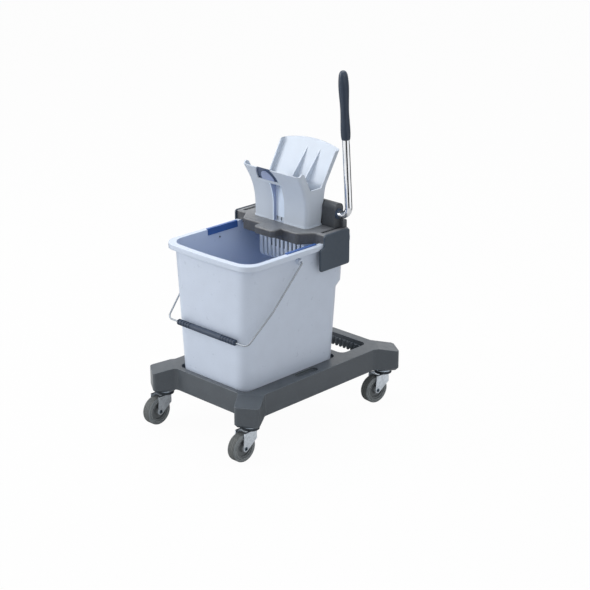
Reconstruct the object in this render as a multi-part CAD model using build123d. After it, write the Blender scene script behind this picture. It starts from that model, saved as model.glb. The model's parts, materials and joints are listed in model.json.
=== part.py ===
from build123d import *
import os
from math import atan2, cos, degrees, radians, sin

# Mop bucket trolley: a moulded chassis on four swivel castors carries a tapered bucket with a bail,
# and a lever press with a funnel lies across the bucket's rim.
# Millimetres. +Z is up, the floor is z = 0, the bail hangs on the front (-Y), the lever is on the right (+X).

# Clearances
RUN_GAP = 0.06  # radial play of a pin or shaft that turns in its hole
PART_GAP = 0.3  # air between pieces that move apart
SLIP_GAP = 0.1  # play of a peg or tube pushed into its socket
OVERCUT = 1.0  # how far a cut runs past the face it opens

# Castors
WHEEL_R = 37.5
TYRE_WIDTH = 26.0
TYRE_INNER_R = 27.0
TYRE_SHOULDER_R = 6.0
HUB_RIM_WIDTH = 20.0
HUB_RIM_INNER_R = 22.5
HUB_WEB = 8.0
HUB_BOSS_R = 11.0
AXLE_R = 4.0
AXLE_HEAD_R = 5.2
AXLE_HEAD = 1.2
AXLE_HOLE_R = 2.2
AXLE_HOLE = 5.0
TRAIL = 33.0  # from the swivel axis to the axle; the castors are parked with the wheels towards the front
FORK_INSIDE = 15.0  # half the space between the legs
FORK_SHEET = 2.5
FORK_END_R = 8.5
CROWN_R = 23.0
CROWN_REACH = 37.0  # from the swivel axis over the wheel
CROWN_PLATE = 20.0  # the crown's sheet ends here between the legs
LEG_BACK = 5.0
LEG_KNEE_Z = 56.0
CROWN_OVER_TYRE = 4.0
FORK_BEND_R = 2.4
RACE = 4.5
RACE_R = 22.0
STEM_R = 6.0
STEM_DEPTH = 48.0
STEM_HEAD_R = 9.5
STEM_HEAD = 3.0
BOSS_SIDE_PLAY = 0.6
SWIVEL_X = 161.0
SWIVEL_Y = 253.0

# Chassis
DECK_Z = 159.0
RAIL_BOTTOM = 99.0
RAIL_X = 168.5  # outer faces of the side rails
RAIL_Y = 251.0  # outer faces of the front and rear rails
SKIN = 4.0
POD_ANGLE = 34.0  # pods point this far from the long axis
POD_WIDTH = 66.0
FRONT_POD_SHIFT = 2.5  # a front pod's middle lies this far inward of its castor
POD_REACH = 36.0
POD_ROOT = 75.0
POD_FOOT_ROOT = 26.0
POD_SLOPE_FROM = 20.0
POD_DROP = 12.0
POD_CORNER_R = 9.0
POD_INNER_R = 16.0
POD_EDGE = 8.0
NEST_DEPTH = 9.0
NEST_PLAY = 1.2
NEST_CORNER_R = 22.0
WINDOW_FRONT = 126.0
WINDOW_BACK = 225.0
WINDOW_X = 125.0
WINDOW_R = 18.0
REAR_RAIL_Z = 128.0  # underside of the rear rail
REAR_GAP_R = 10.0
GRIP_RIB_R = 2.6
GRIP_RIB_PITCH = 9.0
GRIP_RIB_TOP = 12.0  # ribs stop this far under the deck
SCOOP_LENGTH = 78.0
SCOOP_WIDTH = 24.0
SCOOP_DEPTH = 6.0
SCOOP_X = 144.0
SCOOP_Y = -33.0
FLOOR_RIB = 3.0
FLOOR_RIB_BOTTOM = 112.0
FLOOR_RIBS_ALONG = (-70.0, 0.0, 70.0)
FLOOR_RIBS_ACROSS = (-170.0, -90.0, -10.0, 70.0)

# Bucket
BUCKET_TOP = 500.0
BUCKET_WALL = 3.0
BUCKET_FLOOR = 4.0
BASE_HALF = 125.0
MOUTH_HALF = 146.0
BASE_FRONT = -233.0
MOUTH_FRONT = -238.0
BASE_BACK = 103.0
LOW_BACK = 110.0  # at the foot of the step in the back wall
MOUTH_BACK = 128.0
BASE_BOW = 2.0
MOUTH_BOW = 7.0
BASE_CORNER_R = 40.0
MOUTH_CORNER_R = 44.0
STEP_LOW = 361.0
STEP_HIGH = 375.0
STEP_OUT = 16.0
RIM_WIDTH = 12.7
RIM_CORNER_R = 44.0
RIM_DEPTH = 14.0
RIM_SHEET = 3.5
RIM_EDGE_R = 2.0
CLIP_LENGTH = 106.0
CLIP_Y = -54.0
CLIP_SHEET = 2.6
CLIP_DROP = 15.0
CLIP_REACH = 5.0

# Bail
WIRE_R = 2.25
PIVOT_Y = -66.0
PIVOT_Z = 472.0
LUG_R = 8.0
BAIL_LEG = 256.0
BAIL_DROP = 44.6  # degrees below level where the grip rests against the front wall
LEG_STRAIGHT = 150.0
BAIL_FRONT_HALF = 147.0
BAIL_CORNER_R = 16.0
WIRE_END = 6.0
WIRE_BEND = 4.5
LEG_BEND_R = 75.0
BAIL_GRIP_LENGTH = 212.0
BAIL_GRIP_R = 8.0
BAIL_GRIP_RING = 5.0
BAIL_GRIP_GROOVE = 1.2
BAIL_GRIP_RINGS = 5

# Press frame and its brackets
SLAB_BOTTOM = 494.0
SLAB_TOP = 525.0
BRACKET_AIR = 1.3  # from the bucket's rim to a bracket
SLAB_HALF = MOUTH_HALF + RIM_WIDTH + BRACKET_AIR
SLAB_BACK = 106.0
SLAB_END_FRONT = 16.0
SLAB_MID_FRONT = -20.0
SLAB_END_RUN = 34.0
SLAB_CURVE_RUN = 26.0
SLAB_CURVE_R = 16.0
SLAB_EDGE_R = 5.0
SLAB_SKIN = 4.0
SLAB_TO_WALL = 3.6
LIP_X = 5.0
LIP_HALF = 36.0
LIP_FRONT = -50.0
LIP_THICK = 20.0
LIP_CORNER_R = 10.0
SLOT_X = SLAB_HALF - 18.0
SLOT_FRONT = 26.0
SLOT_BACK = 94.0
SLOT_WIDTH = 5.0
BRACKET = 5.0
BRACKET_FRONT = 12.0
BRACKET_BACK = 106.0
BRACKET_BOTTOM = 430.0
BRACKET_STEP = 15.0
BRACKET_STEP_Z = 490.0
BRACKET_R = 7.0
PEG_R = 4.0
PEG_LENGTH = 12.0
PEG_Y = (40.0, 84.0)
PEG_Z = 512.0

# Funnel: slopes are millimetres outward for each millimetre of height
FUNNEL_HALF = 94.0
FUNNEL_FRONT = 16.5
FUNNEL_BACK = 75.5
FUNNEL_FRONT_R = 11.0
FUNNEL_BACK_R = 5.0
FLARE_SLOPE = 0.58
FLARE_FROM = 566.0
FLARE_TO = 650.0
BACK_SLOPE = 0.12
LEAN_SLOPE = 0.574
LEAN_FROM = 613.0
LEAN_TO = 637.0
SPREAD_SLOPE = 0.0427
SIDE_TAPER = 0.036  # narrowing for each millimetre towards the back
FUNNEL_CROWN = 740.0
FUNNEL_WALL = 4.0
FUNNEL_BEAD = 2.5
FUNNEL_BEAD_HEIGHT = 3.0
FUNNEL_SPIGOT = 19.0
FRONT_RIM_Z = 670.0
HORN_Z = 677.0
HORN_Y = -6.0
HORN_RUN = 8.0
SIDE_Z = 625.0
SIDE_FRONT_Y = 27.5
SIDE_BACK_Y = 70.0
SIDE_CORNER_R = 5.0
PLATE_RETURN = 17.0
PLATE_HALF = 101.0
PLATE_SHOULDER_Z = 713.0
PLATE_TOP_Z = 725.5
PLATE_CORNER_R = 7.0
FIN_X = (-8.5, 36.5)
FIN_THICK = 4.0
FIN_DEPTH = 22.0
FIN_TOP_Z = 705.0
FIN_BOTTOM_Z = 628.0
CHANNEL_LEFT = -22.5
CHANNEL_RIGHT = 16.5
CHANNEL_BED = 26.0  # the bed is upright, while the wall before it flares out
CHANNEL_TOP = 628.0
CHANNEL_WALL = 3.0
CHANNEL_STEP = 12.0
SHOULDER_WIDTH = 18.5  # sloped strip beside the channel's left edge
SHOULDER_DEPTH = 2.0
CATCH_X = -25.0
CATCH_SILL = 5.0  # wall left between the channel's box and the notch
CATCH_Z = CHANNEL_TOP + CHANNEL_WALL + CATCH_SILL
CATCH_HALF = 37.0
CATCH_RISE = 44.0  # more than the wall has there, so the notch is open at the rim
CATCH_LAP = 3.0
CATCH_SHEET = 2.5
TONGUE_HALF = 22.0
TONGUE_RISE = 27.0
TONGUE_SET = 1.0
DRAIN_X = (-17.5, -3.0)
DRAIN_WIDTH = 5.0
DRAIN_HEIGHT = 10.0

# Drain basket
BASKET_HALF = 81.0
BASKET_FRONT = 23.0
BASKET_BACK = 66.0
BASKET_BOTTOM = 412.0
BASKET_WALL = 3.5
BASKET_FLANGE = 3.0
BASKET_CORNER_R = 18.0
BAR_PITCH = 15.0
BAR_GAP = 7.0
BAR_TOP_MARGIN = 14.0
BAR_BACK_TOP = 450.0

# Shaft housing, cam shaft and lever
SHAFT_Y = 88.0
SHAFT_Z = 562.0
SHAFT_R = 7.0
HOOD_HALF = SLAB_HALF - 19.0
HOOD_FRONT = 74.0
HOOD_TOP = 589.0
HOOD_SKIN = 3.0
HOOD_CROWN_R = 14.0
HOOD_BOSS = 11.0
HOOD_FOOT_HALF = HOOD_HALF + 13.0
HOOD_FOOT_FRONT = 92.0
HOOD_FOOT_TOP = 547.0
HOOD_FOOT_R = 4.0
HOOD_BOSS_WALL = 2.5
BUSH_WALL = 2.5
BUSH_FLANGE = 2.0
SCREW_X = HOOD_HALF - 21.0
SCREW_Y = (82.0, 96.0)
SCREWS = (
    ("left_front", -1, SCREW_Y[0]),
    ("left_rear", -1, SCREW_Y[1]),
    ("right_front", 1, SCREW_Y[0]),
    ("right_rear", 1, SCREW_Y[1]),
)
SCREW_R = 2.0
SCREW_HEAD_R = 4.5
SCREW_HEAD = 3.0
SCREW_LENGTH = 16.0
SCREW_POST_R = 4.5
LEVER_X = 177.7
LEVER_R = 9.5
LEVER_TUBE_WALL = 2.4
LEVER_BEND_R = 26.0
LEVER_TOP = 382.5  # above the shaft's axis
LEVER_LEAN = 4.3  # degrees forward at rest
LEVER_SLEEVE = 36.0  # tube length inside the housing
LEVER_GRIP_LENGTH = 177.0
LEVER_GRIP_R = 13.0
LEVER_GRIP_BROW_R = 12.0
LEVER_GRIP_WAIST_R = 11.0
LEVER_GRIP_HEEL_R = 12.4
LEVER_GRIP_FOOT_R = 10.8
LEVER_GRIP_CAP = 9.0
LEVER_GRIP_HEEL = 26.0
LEVER_GRIP_WAIST = 74.0
LEVER_GRIP_HEAD = 54.0
CROSS_PIN_R = 2.0
CAM_X = 50.0
CAM_WIDTH = 12.0
CAM_R = 10.0
CAM_STEPS = 8
LEVER_TURN = 85.0
JAW_TURN = 6.4
SPRING_LENGTH = 29.0
SPRING_WIRE = 2.0

# Press jaw
HINGE_Y = 72.0
HINGE_Z = 597.0
HINGE_PIN_R = 3.0
JAW_BARREL_R = 6.0
JAW_HALF = 76.5
JAW_THICK = 5.0
JAW_KNEE_Z = 528.0
JAW_FOOT_Z = 436.0
JAW_BACK_AIR = 0.7
JAW_RIB = 3.0
JAW_RIB_WIDTH = 5.0
JAW_RIBS = 7
JAW_PAD_HALF = 11.0
CAM_AIR = 0.5
WINDOW_AIR = 3.0

# Heights and widths that follow from the sizes above
CROWN_BOTTOM = 2 * WHEEL_R + CROWN_OVER_TYRE
CROWN_TOP = CROWN_BOTTOM + FORK_SHEET
UPPER_RACE_Z = CROWN_TOP + RACE + PART_GAP
POD_BOTTOM = UPPER_RACE_Z + RACE
NEST_Z = DECK_Z - NEST_DEPTH
BUCKET_BASE = NEST_Z + PART_GAP
RIM_HALF = MOUTH_HALF + RIM_WIDTH
LEG_X = RIM_HALF + 2 * PART_GAP + WIRE_R
SEAT_Z = BUCKET_TOP + PART_GAP
HINGE_PIN_HALF = FUNNEL_HALF
CORNERS = {"front_left": (-1, -1), "front_right": (1, -1), "rear_left": (-1, 1), "rear_right": (1, 1)}
CASTOR_TURNS = {"front_left": 0.0, "front_right": 0.0, "rear_left": 0.0, "rear_right": -7.0}


def mix(low, high, share):
    return low + (high - low) * share


def block(x0, x1, y0, y1, z0, z1):
    """Box between two corners."""
    centre = Pos((x0 + x1) / 2, (y0 + y1) / 2, (z0 + z1) / 2)
    return centre * Box(x1 - x0, y1 - y0, z1 - z0)


def rod_x(radius, x0, x1, y=0.0, z=0.0):
    """Round bar along X."""
    return Pos((x0 + x1) / 2, y, z) * Rot(Y=90) * Cylinder(radius, x1 - x0)


def polygon(*points):
    return make_face(Polyline(*points, close=True))


def prism_x(sketch, x0, x1):
    """Extrude a (y, z) sketch along X."""
    return extrude(Plane.YZ.offset(x0) * sketch, x1 - x0)


def at_height(sketch, z0, z1):
    """Extrude an (x, y) sketch between two heights."""
    return extrude(Plane.XY.offset(z0) * sketch, z1 - z0)


# Castors, built on the swivel axis

AXLE = Pos(0, -TRAIL, WHEEL_R)


def tyre():
    tread = Pos(0, (TYRE_INNER_R + WHEEL_R) / 2) * Rectangle(TYRE_WIDTH, WHEEL_R - TYRE_INNER_R)
    tread = fillet(tread.vertices().group_by(Axis.Y)[-1], TYRE_SHOULDER_R)
    return AXLE * revolve(tread, Axis.X)


def hub():
    boss = FORK_INSIDE - BOSS_SIDE_PLAY
    bore = AXLE_R + RUN_GAP
    rim = HUB_RIM_WIDTH / 2
    web = HUB_WEB / 2
    right = [(boss, bore), (boss, HUB_BOSS_R), (web, HUB_BOSS_R), (web, HUB_RIM_INNER_R)]
    right += [(rim, HUB_RIM_INNER_R), (rim, TYRE_INNER_R)]
    left = [(-x, r) for x, r in reversed(right)]
    return AXLE * revolve(polygon(*right, *left), Axis.X)


def axle():
    half = FORK_INSIDE + FORK_SHEET
    head = half + AXLE_HEAD
    right = [(half, AXLE_R), (half, AXLE_HEAD_R), (head - AXLE_HEAD / 2, AXLE_HEAD_R), (head, AXLE_R)]
    right += [(head, AXLE_HOLE_R), (head - AXLE_HOLE, AXLE_HOLE_R), (head - AXLE_HOLE, 0)]
    left = [(-x, r) for x, r in reversed(right)]
    return AXLE * revolve(polygon(*right, *left), Axis.X)


def fork():
    outside = FORK_INSIDE + FORK_SHEET
    top_edge = Line((LEG_BACK, CROWN_TOP), (-CROWN_REACH, CROWN_TOP))
    back_edge = Line((LEG_BACK, CROWN_TOP), (LEG_BACK, LEG_KNEE_Z))
    eye = Pos(-TRAIL, WHEEL_R) * Circle(FORK_END_R)
    leg = make_hull([top_edge, back_edge] + list(eye.edges()))
    body = block(-outside, outside, -CROWN_REACH, LEG_BACK, CROWN_BOTTOM, CROWN_TOP)
    body += prism_x(leg, FORK_INSIDE, outside)
    body += prism_x(leg, -outside, -FORK_INSIDE)
    shoulders = body.edges().filter_by(Axis.Y).group_by(Axis.Z)[-1]
    body = fillet(shoulders, FORK_BEND_R)
    low = CROWN_BOTTOM - OVERCUT
    body -= block(-FORK_INSIDE, FORK_INSIDE, -CROWN_REACH - OVERCUT, -CROWN_PLATE, low, CROWN_TOP + OVERCUT)
    body += Pos(0, 0, (CROWN_BOTTOM + CROWN_TOP) / 2) * Cylinder(CROWN_R, FORK_SHEET)
    body += Pos(0, 0, CROWN_TOP + RACE / 2) * Cylinder(RACE_R, RACE)
    body -= Pos(0, 0, CROWN_TOP) * Cylinder(STEM_R + RUN_GAP, 4 * RACE)
    return body - AXLE * rod_x(AXLE_R, -2 * outside, 2 * outside)


def swivel_stem():
    head_top = CROWN_BOTTOM - PART_GAP
    profile = polygon(
        (0, head_top - STEM_HEAD),
        (STEM_HEAD_R, head_top - STEM_HEAD),
        (STEM_HEAD_R, head_top),
        (STEM_R, head_top),
        (STEM_R, UPPER_RACE_Z),
        (RACE_R, UPPER_RACE_Z),
        (RACE_R, POD_BOTTOM),
        (STEM_R, POD_BOTTOM),
        (STEM_R, POD_BOTTOM + STEM_DEPTH),
        (0, POD_BOTTOM + STEM_DEPTH),
    )
    return revolve(Plane.XZ * profile, Axis.Z)


# Chassis


def pod_place(side, end):
    """Frame at a swivel axis whose +Y runs out along the pod."""
    lean = radians(POD_ANGLE)
    turn = degrees(atan2(-side * sin(lean), end * cos(lean)))
    return Pos(side * SWIVEL_X, end * SWIVEL_Y, 0) * Rot(Z=turn)


def pod_plan(side, end, root):
    across = -side * end * FRONT_POD_SHIFT if end < 0 else 0
    return Pos(across, (POD_REACH - root) / 2) * Rectangle(POD_WIDTH, POD_REACH + root)


def window_plan(grow=0.0):
    depth = WINDOW_BACK - WINDOW_FRONT
    plan = Rectangle(2 * (WINDOW_X + grow), depth + 2 * grow)
    plan = fillet(plan.vertices(), WINDOW_R + grow)
    return Pos(0, (WINDOW_FRONT + WINDOW_BACK) / 2) * plan


def nest_plan(grow=0.0):
    at_deck = tub_numbers(DECK_Z)
    half = at_deck["half"] + NEST_PLAY + grow
    front = at_deck["front"] - at_deck["bow"] - NEST_PLAY - grow
    back = at_deck["back"] + NEST_PLAY + grow
    plan = fillet(Rectangle(2 * half, back - front).vertices(), NEST_CORNER_R)
    return Pos(0, (front + back) / 2) * plan


def scoop_plan(side, grow=0.0):
    plan = SlotOverall(SCOOP_LENGTH + 2 * grow, SCOOP_WIDTH + 2 * grow)
    return Pos(side * SCOOP_X, SCOOP_Y) * Rot(Z=90) * plan


def chassis_outline():
    plan = Rectangle(2 * RAIL_X, 2 * RAIL_Y)
    for side, end in CORNERS.values():
        plan += pod_place(side, end) * pod_plan(side, end, POD_ROOT)
    tips = [v for v in plan.vertices() if abs(v.X) > RAIL_X + 1 or abs(v.Y) > RAIL_Y + 1]
    plan = fillet(tips, POD_CORNER_R)
    bends = [v for v in plan.vertices() if abs(abs(v.X) - RAIL_X) < 0.01 or abs(abs(v.Y) - RAIL_Y) < 0.01]
    return fillet(bends, POD_INNER_R)


def chassis():
    body = at_height(chassis_outline(), RAIL_BOTTOM, DECK_Z)
    slope = POD_DROP / (POD_REACH + POD_SLOPE_FROM)
    far = POD_REACH + POD_WIDTH
    wedge = polygon(
        (-POD_SLOPE_FROM, DECK_Z),
        (far, DECK_Z - slope * (far + POD_SLOPE_FROM)),
        (far, DECK_Z + POD_DROP),
        (-POD_SLOPE_FROM, DECK_Z + POD_DROP),
    )
    for side, end in CORNERS.values():
        place = pod_place(side, end)
        foot = fillet(pod_plan(side, end, POD_FOOT_ROOT).vertices(), POD_CORNER_R)
        foot = at_height(foot, POD_BOTTOM, DECK_Z - POD_DROP)
        body += place * chamfer(foot.edges().group_by(Axis.Z)[0], POD_EDGE)
        body -= place * prism_x(wedge, -2 * POD_WIDTH, 2 * POD_WIDTH)
    body -= at_height(window_plan(), RAIL_BOTTOM, DECK_Z)

    hollow = Rectangle(2 * (RAIL_X - SKIN), 2 * (RAIL_Y - SKIN)) - window_plan(SKIN)
    for side, end in CORNERS.values():
        hollow -= pod_place(side, end) * pod_plan(side, end, POD_ROOT)
    hollow = at_height(hollow, RAIL_BOTTOM, DECK_Z - SKIN)
    hollow -= at_height(nest_plan(SKIN), NEST_Z - SKIN, DECK_Z)
    for side in (-1, 1):
        hollow -= at_height(scoop_plan(side, SKIN), DECK_Z - SCOOP_DEPTH - SKIN, DECK_Z)
    for x in FLOOR_RIBS_ALONG:
        hollow -= block(x - FLOOR_RIB / 2, x + FLOOR_RIB / 2, -RAIL_Y, WINDOW_FRONT, FLOOR_RIB_BOTTOM, DECK_Z)
    for y in FLOOR_RIBS_ACROSS:
        hollow -= block(-RAIL_X, RAIL_X, y - FLOOR_RIB / 2, y + FLOOR_RIB / 2, FLOOR_RIB_BOTTOM, DECK_Z)
    body -= hollow
    body -= at_height(nest_plan(), NEST_Z, DECK_Z)
    for side in (-1, 1):
        body -= at_height(scoop_plan(side), DECK_Z - SCOOP_DEPTH, DECK_Z)
    low = RAIL_BOTTOM - OVERCUT
    gap = Pos(0, (low + REAR_RAIL_Z) / 2) * Rectangle(2 * (WINDOW_X - WINDOW_R), REAR_RAIL_Z - low)
    gap = fillet(gap.vertices().group_by(Axis.Y)[-1], REAR_GAP_R)
    far = RAIL_Y + OVERCUT
    body -= Pos(0, far, 0) * extrude(Plane.XZ * gap, far - WINDOW_BACK + SKIN)
    body += finger_grip()
    for side, end in CORNERS.values():
        bore = Pos(0, 0, POD_BOTTOM + STEM_DEPTH / 2) * Cylinder(STEM_R + SLIP_GAP, STEM_DEPTH + 2 * SLIP_GAP)
        body -= pod_place(side, end) * bore
    return body


def finger_grip():
    """Upright ribs on the rear rail's inner wall."""
    reach = WINDOW_X - WINDOW_R - REAR_GAP_R
    steps = int(reach / GRIP_RIB_PITCH)
    height = DECK_Z - GRIP_RIB_TOP - REAR_RAIL_Z
    rib = Pos(0, 0, REAR_RAIL_Z + height / 2) * Cylinder(GRIP_RIB_R, height)
    return [Pos(i * GRIP_RIB_PITCH, WINDOW_BACK, 0) * rib for i in range(-steps, steps + 1)]


# Bucket


def tub_numbers(z):
    """Outside sizes of the bucket's wall at one height."""
    share = (z - BUCKET_BASE) / (BUCKET_TOP - BUCKET_BASE)
    below = min((z - BUCKET_BASE) / (STEP_LOW - BUCKET_BASE), 1)
    step = min(max((z - STEP_LOW) / (STEP_HIGH - STEP_LOW), 0), 1)
    above = max((z - STEP_HIGH) / (BUCKET_TOP - STEP_HIGH), 0)
    back = mix(BASE_BACK, LOW_BACK, below) + STEP_OUT * step
    return {
        "half": mix(BASE_HALF, MOUTH_HALF, share),
        "front": mix(BASE_FRONT, MOUTH_FRONT, share),
        "back": back + (MOUTH_BACK - LOW_BACK - STEP_OUT) * above,
        "bow": mix(BASE_BOW, MOUTH_BOW, share),
        "corner": mix(BASE_CORNER_R, MOUTH_CORNER_R, share),
    }


def tub_plan(z, grow=0.0, corner=None):
    size = tub_numbers(z)
    half = size["half"] + grow
    front = size["front"] - grow
    back = size["back"] + grow
    front_edge = ThreePointArc((-half, front), (0, front - size["bow"]), (half, front))
    rest = Polyline((half, front), (half, back), (-half, back), (-half, front))
    plan = make_face([front_edge] + list(rest.edges()))
    return fillet(plan.vertices(), corner or size["corner"] + grow)


def tub_solid(heights, grow=0.0):
    return loft([Plane.XY.offset(z) * tub_plan(z, grow) for z in heights], ruled=True)


def bucket():
    body = tub_solid([BUCKET_BASE, STEP_LOW, STEP_HIGH, BUCKET_TOP])
    rim = at_height(tub_plan(BUCKET_TOP, RIM_WIDTH, RIM_CORNER_R), BUCKET_TOP - RIM_DEPTH, BUCKET_TOP)
    rim = fillet(rim.edges().group_by(Axis.Z)[-1], RIM_EDGE_R)
    under = tub_plan(BUCKET_TOP, RIM_WIDTH - RIM_SHEET, RIM_CORNER_R - RIM_SHEET)
    rim -= at_height(under, BUCKET_TOP - RIM_DEPTH, BUCKET_TOP - RIM_SHEET)
    body += rim
    wall_x = tub_numbers(PIVOT_Z)["half"]
    for side in (-1, 1):
        ends = sorted((side * (wall_x - BUCKET_WALL), side * (LEG_X - WIRE_BEND - PART_GAP)))
        body += rod_x(LUG_R, *ends, PIVOT_Y, PIVOT_Z)
    body -= tub_solid([BUCKET_BASE + BUCKET_FLOOR, STEP_LOW, STEP_HIGH, BUCKET_TOP + OVERCUT], -BUCKET_WALL)
    return body - rod_x(WIRE_R + RUN_GAP, -RIM_HALF, RIM_HALF, PIVOT_Y, PIVOT_Z)


def colour_clip(side):
    """Strip that hooks over the inner edge of a long rim."""
    inner = MOUTH_HALF - BUCKET_WALL - SLIP_GAP
    top = BUCKET_TOP + CLIP_SHEET
    lean = (MOUTH_HALF - BASE_HALF) / (BUCKET_TOP - BUCKET_BASE)
    foot = inner - lean * (CLIP_DROP + SLIP_GAP)
    profile = polygon(
        (foot - CLIP_SHEET, BUCKET_TOP - CLIP_DROP),
        (foot, BUCKET_TOP - CLIP_DROP),
        (inner, BUCKET_TOP),
        (inner + CLIP_REACH, BUCKET_TOP),
        (inner + CLIP_REACH, top),
        (inner - CLIP_SHEET, top),
    )
    strip = extrude(Plane.XZ * profile, CLIP_LENGTH / 2, both=True)
    strip = Pos(0, CLIP_Y, 0) * strip
    return strip if side > 0 else mirror(strip, Plane.YZ)


# Bail


def bail_point(x, reach):
    drop = radians(BAIL_DROP)
    return (x, PIVOT_Y - reach * cos(drop), PIVOT_Z - reach * sin(drop))


def bail_wire():
    end_x = tub_numbers(PIVOT_Z)["half"] - WIRE_END
    half = [(end_x, 0), (LEG_X, 0), (LEG_X, LEG_STRAIGHT), (BAIL_FRONT_HALF, BAIL_LEG)]
    points = [bail_point(x, reach) for x, reach in half]
    points += [bail_point(-x, reach) for x, reach in reversed(half)]
    bends = [WIRE_BEND, LEG_BEND_R, BAIL_CORNER_R]
    path = FilletPolyline(*points, radius=bends + bends[::-1])
    return sweep(Plane(path @ 0, z_dir=path % 0) * Circle(WIRE_R), path=path)


def bail_grip():
    half = BAIL_GRIP_LENGTH / 2
    bar = rod_x(BAIL_GRIP_R, -half, half)
    bar = fillet(bar.edges(), BAIL_GRIP_R / 3)
    for side in (-1, 1):
        for ring in range(BAIL_GRIP_RINGS):
            x = side * (half - BAIL_GRIP_RING * (1.5 + 2 * ring))
            groove = rod_x(BAIL_GRIP_R + OVERCUT, x - BAIL_GRIP_RING / 2, x + BAIL_GRIP_RING / 2)
            groove -= rod_x(BAIL_GRIP_R - BAIL_GRIP_GROOVE, x - BAIL_GRIP_RING, x + BAIL_GRIP_RING)
            bar -= groove
    bar -= rod_x(WIRE_R + RUN_GAP, -2 * half, 2 * half)
    return Pos(*bail_point(0, BAIL_LEG)) * bar


# Press frame and brackets


def slab_plan():
    mid = SLAB_HALF - SLAB_END_RUN
    inner = mid - SLAB_CURVE_RUN
    lip_left = LIP_X - LIP_HALF
    lip_right = LIP_X + LIP_HALF
    plan = polygon(
        (-SLAB_HALF, SLAB_BACK),
        (-SLAB_HALF, SLAB_END_FRONT),
        (-mid, SLAB_END_FRONT),
        (-inner, SLAB_MID_FRONT),
        (inner, SLAB_MID_FRONT),
        (mid, SLAB_END_FRONT),
        (SLAB_HALF, SLAB_END_FRONT),
        (SLAB_HALF, SLAB_BACK),
    )
    curve = [v for v in plan.vertices() if abs(v.X) < SLAB_HALF - 1]
    plan = fillet(curve, SLAB_CURVE_R)
    lip = polygon(
        (lip_left, LIP_FRONT), (lip_right, LIP_FRONT), (lip_right, SLAB_END_FRONT), (lip_left, SLAB_END_FRONT)
    )
    return plan, fillet(lip.vertices().group_by(Axis.Y)[0], LIP_CORNER_R)


def press_frame():
    plan, lip = slab_plan()
    well = tub_plan(SLAB_BOTTOM, -BUCKET_WALL - SLAB_TO_WALL)
    body = at_height(plan, SEAT_Z, SLAB_TOP)
    body += at_height(plan & well, SLAB_BOTTOM, SEAT_Z)
    body += at_height(lip, SLAB_TOP - LIP_THICK, SLAB_TOP)
    top_front = [e for e in body.edges().group_by(Axis.Z)[-1] if e.center().Y < SLAB_BACK - 1]
    body = fillet(top_front, SLAB_EDGE_R)

    hollow = at_height(offset(plan, -SLAB_SKIN) & offset(well, -SLAB_SKIN), SLAB_BOTTOM, SLAB_TOP - SLAB_SKIN)
    hollow -= at_height(funnel_plan(SLAB_SKIN + SLIP_GAP), SLAB_BOTTOM, SLAB_TOP)
    body -= hollow
    body -= at_height(funnel_plan(SLIP_GAP), SLAB_BOTTOM, SLAB_TOP)
    for side in (-1, 1):
        slot = SlotOverall(SLOT_BACK - SLOT_FRONT, SLOT_WIDTH)
        slot = Pos(side * SLOT_X, (SLOT_FRONT + SLOT_BACK) / 2) * Rot(Z=90) * slot
        body -= at_height(slot, SLAB_BOTTOM, SLAB_TOP)
        for y in PEG_Y:
            ends = sorted((side * SLAB_HALF, side * (SLAB_HALF - PEG_LENGTH - SLIP_GAP)))
            body -= rod_x(PEG_R + SLIP_GAP, *ends, y, PEG_Z)
        for y in SCREW_Y:
            body -= Pos(side * SCREW_X, y, SLAB_TOP) * Cylinder(SCREW_R + SLIP_GAP, 4 * SLAB_SKIN)
    return body


def rim_bracket(side):
    low_front = BRACKET_FRONT - BRACKET_STEP
    plate = polygon(
        (BRACKET_FRONT, SLAB_TOP),
        (BRACKET_FRONT, BRACKET_STEP_Z),
        (low_front, BRACKET_STEP_Z),
        (low_front, BRACKET_BOTTOM),
        (BRACKET_BACK, BRACKET_BOTTOM),
        (BRACKET_BACK, SLAB_TOP),
    )
    plate = fillet(plate.vertices(), BRACKET_R)
    body = prism_x(plate, SLAB_HALF, SLAB_HALF + BRACKET)
    outer = body.faces().sort_by(Axis.X)[-1]
    body = fillet(outer.edges(), BRACKET / 3)
    for y in PEG_Y:
        body += rod_x(PEG_R, SLAB_HALF - PEG_LENGTH, SLAB_HALF, y, PEG_Z)
    return body if side > 0 else mirror(body, Plane.YZ)


# Funnel and drain basket


def ramp(z, start, end):
    """Height gained above a bend, with the slope growing evenly from start to end."""
    if z <= start:
        return 0.0
    if z >= end:
        return z - (start + end) / 2
    return (z - start) ** 2 / (2 * (end - start))


def funnel_front(z):
    return FUNNEL_FRONT - FLARE_SLOPE * ramp(z, FLARE_FROM, FLARE_TO)


def funnel_back(z):
    return FUNNEL_BACK + BACK_SLOPE * (z - SLAB_TOP) + (LEAN_SLOPE - BACK_SLOPE) * ramp(z, LEAN_FROM, LEAN_TO)


def funnel_half(y, z):
    middle = (FUNNEL_FRONT + FUNNEL_BACK) / 2
    return FUNNEL_HALF + SPREAD_SLOPE * (z - SLAB_TOP) - SIDE_TAPER * (y - middle)


def funnel_plan(grow=0.0):
    """Outline of the funnel's foot on the slab."""
    front_half = funnel_half(FUNNEL_FRONT, SLAB_TOP) + grow
    back_half = funnel_half(FUNNEL_BACK, SLAB_TOP) + grow
    front = FUNNEL_FRONT - grow
    back = FUNNEL_BACK + grow
    plan = polygon((-front_half, front), (front_half, front), (back_half, back), (-back_half, back))
    plan = fillet(plan.vertices().group_by(Axis.Y)[0], FUNNEL_FRONT_R + grow)
    return fillet(plan.vertices().group_by(Axis.Y)[-1], FUNNEL_BACK_R + grow)


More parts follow.
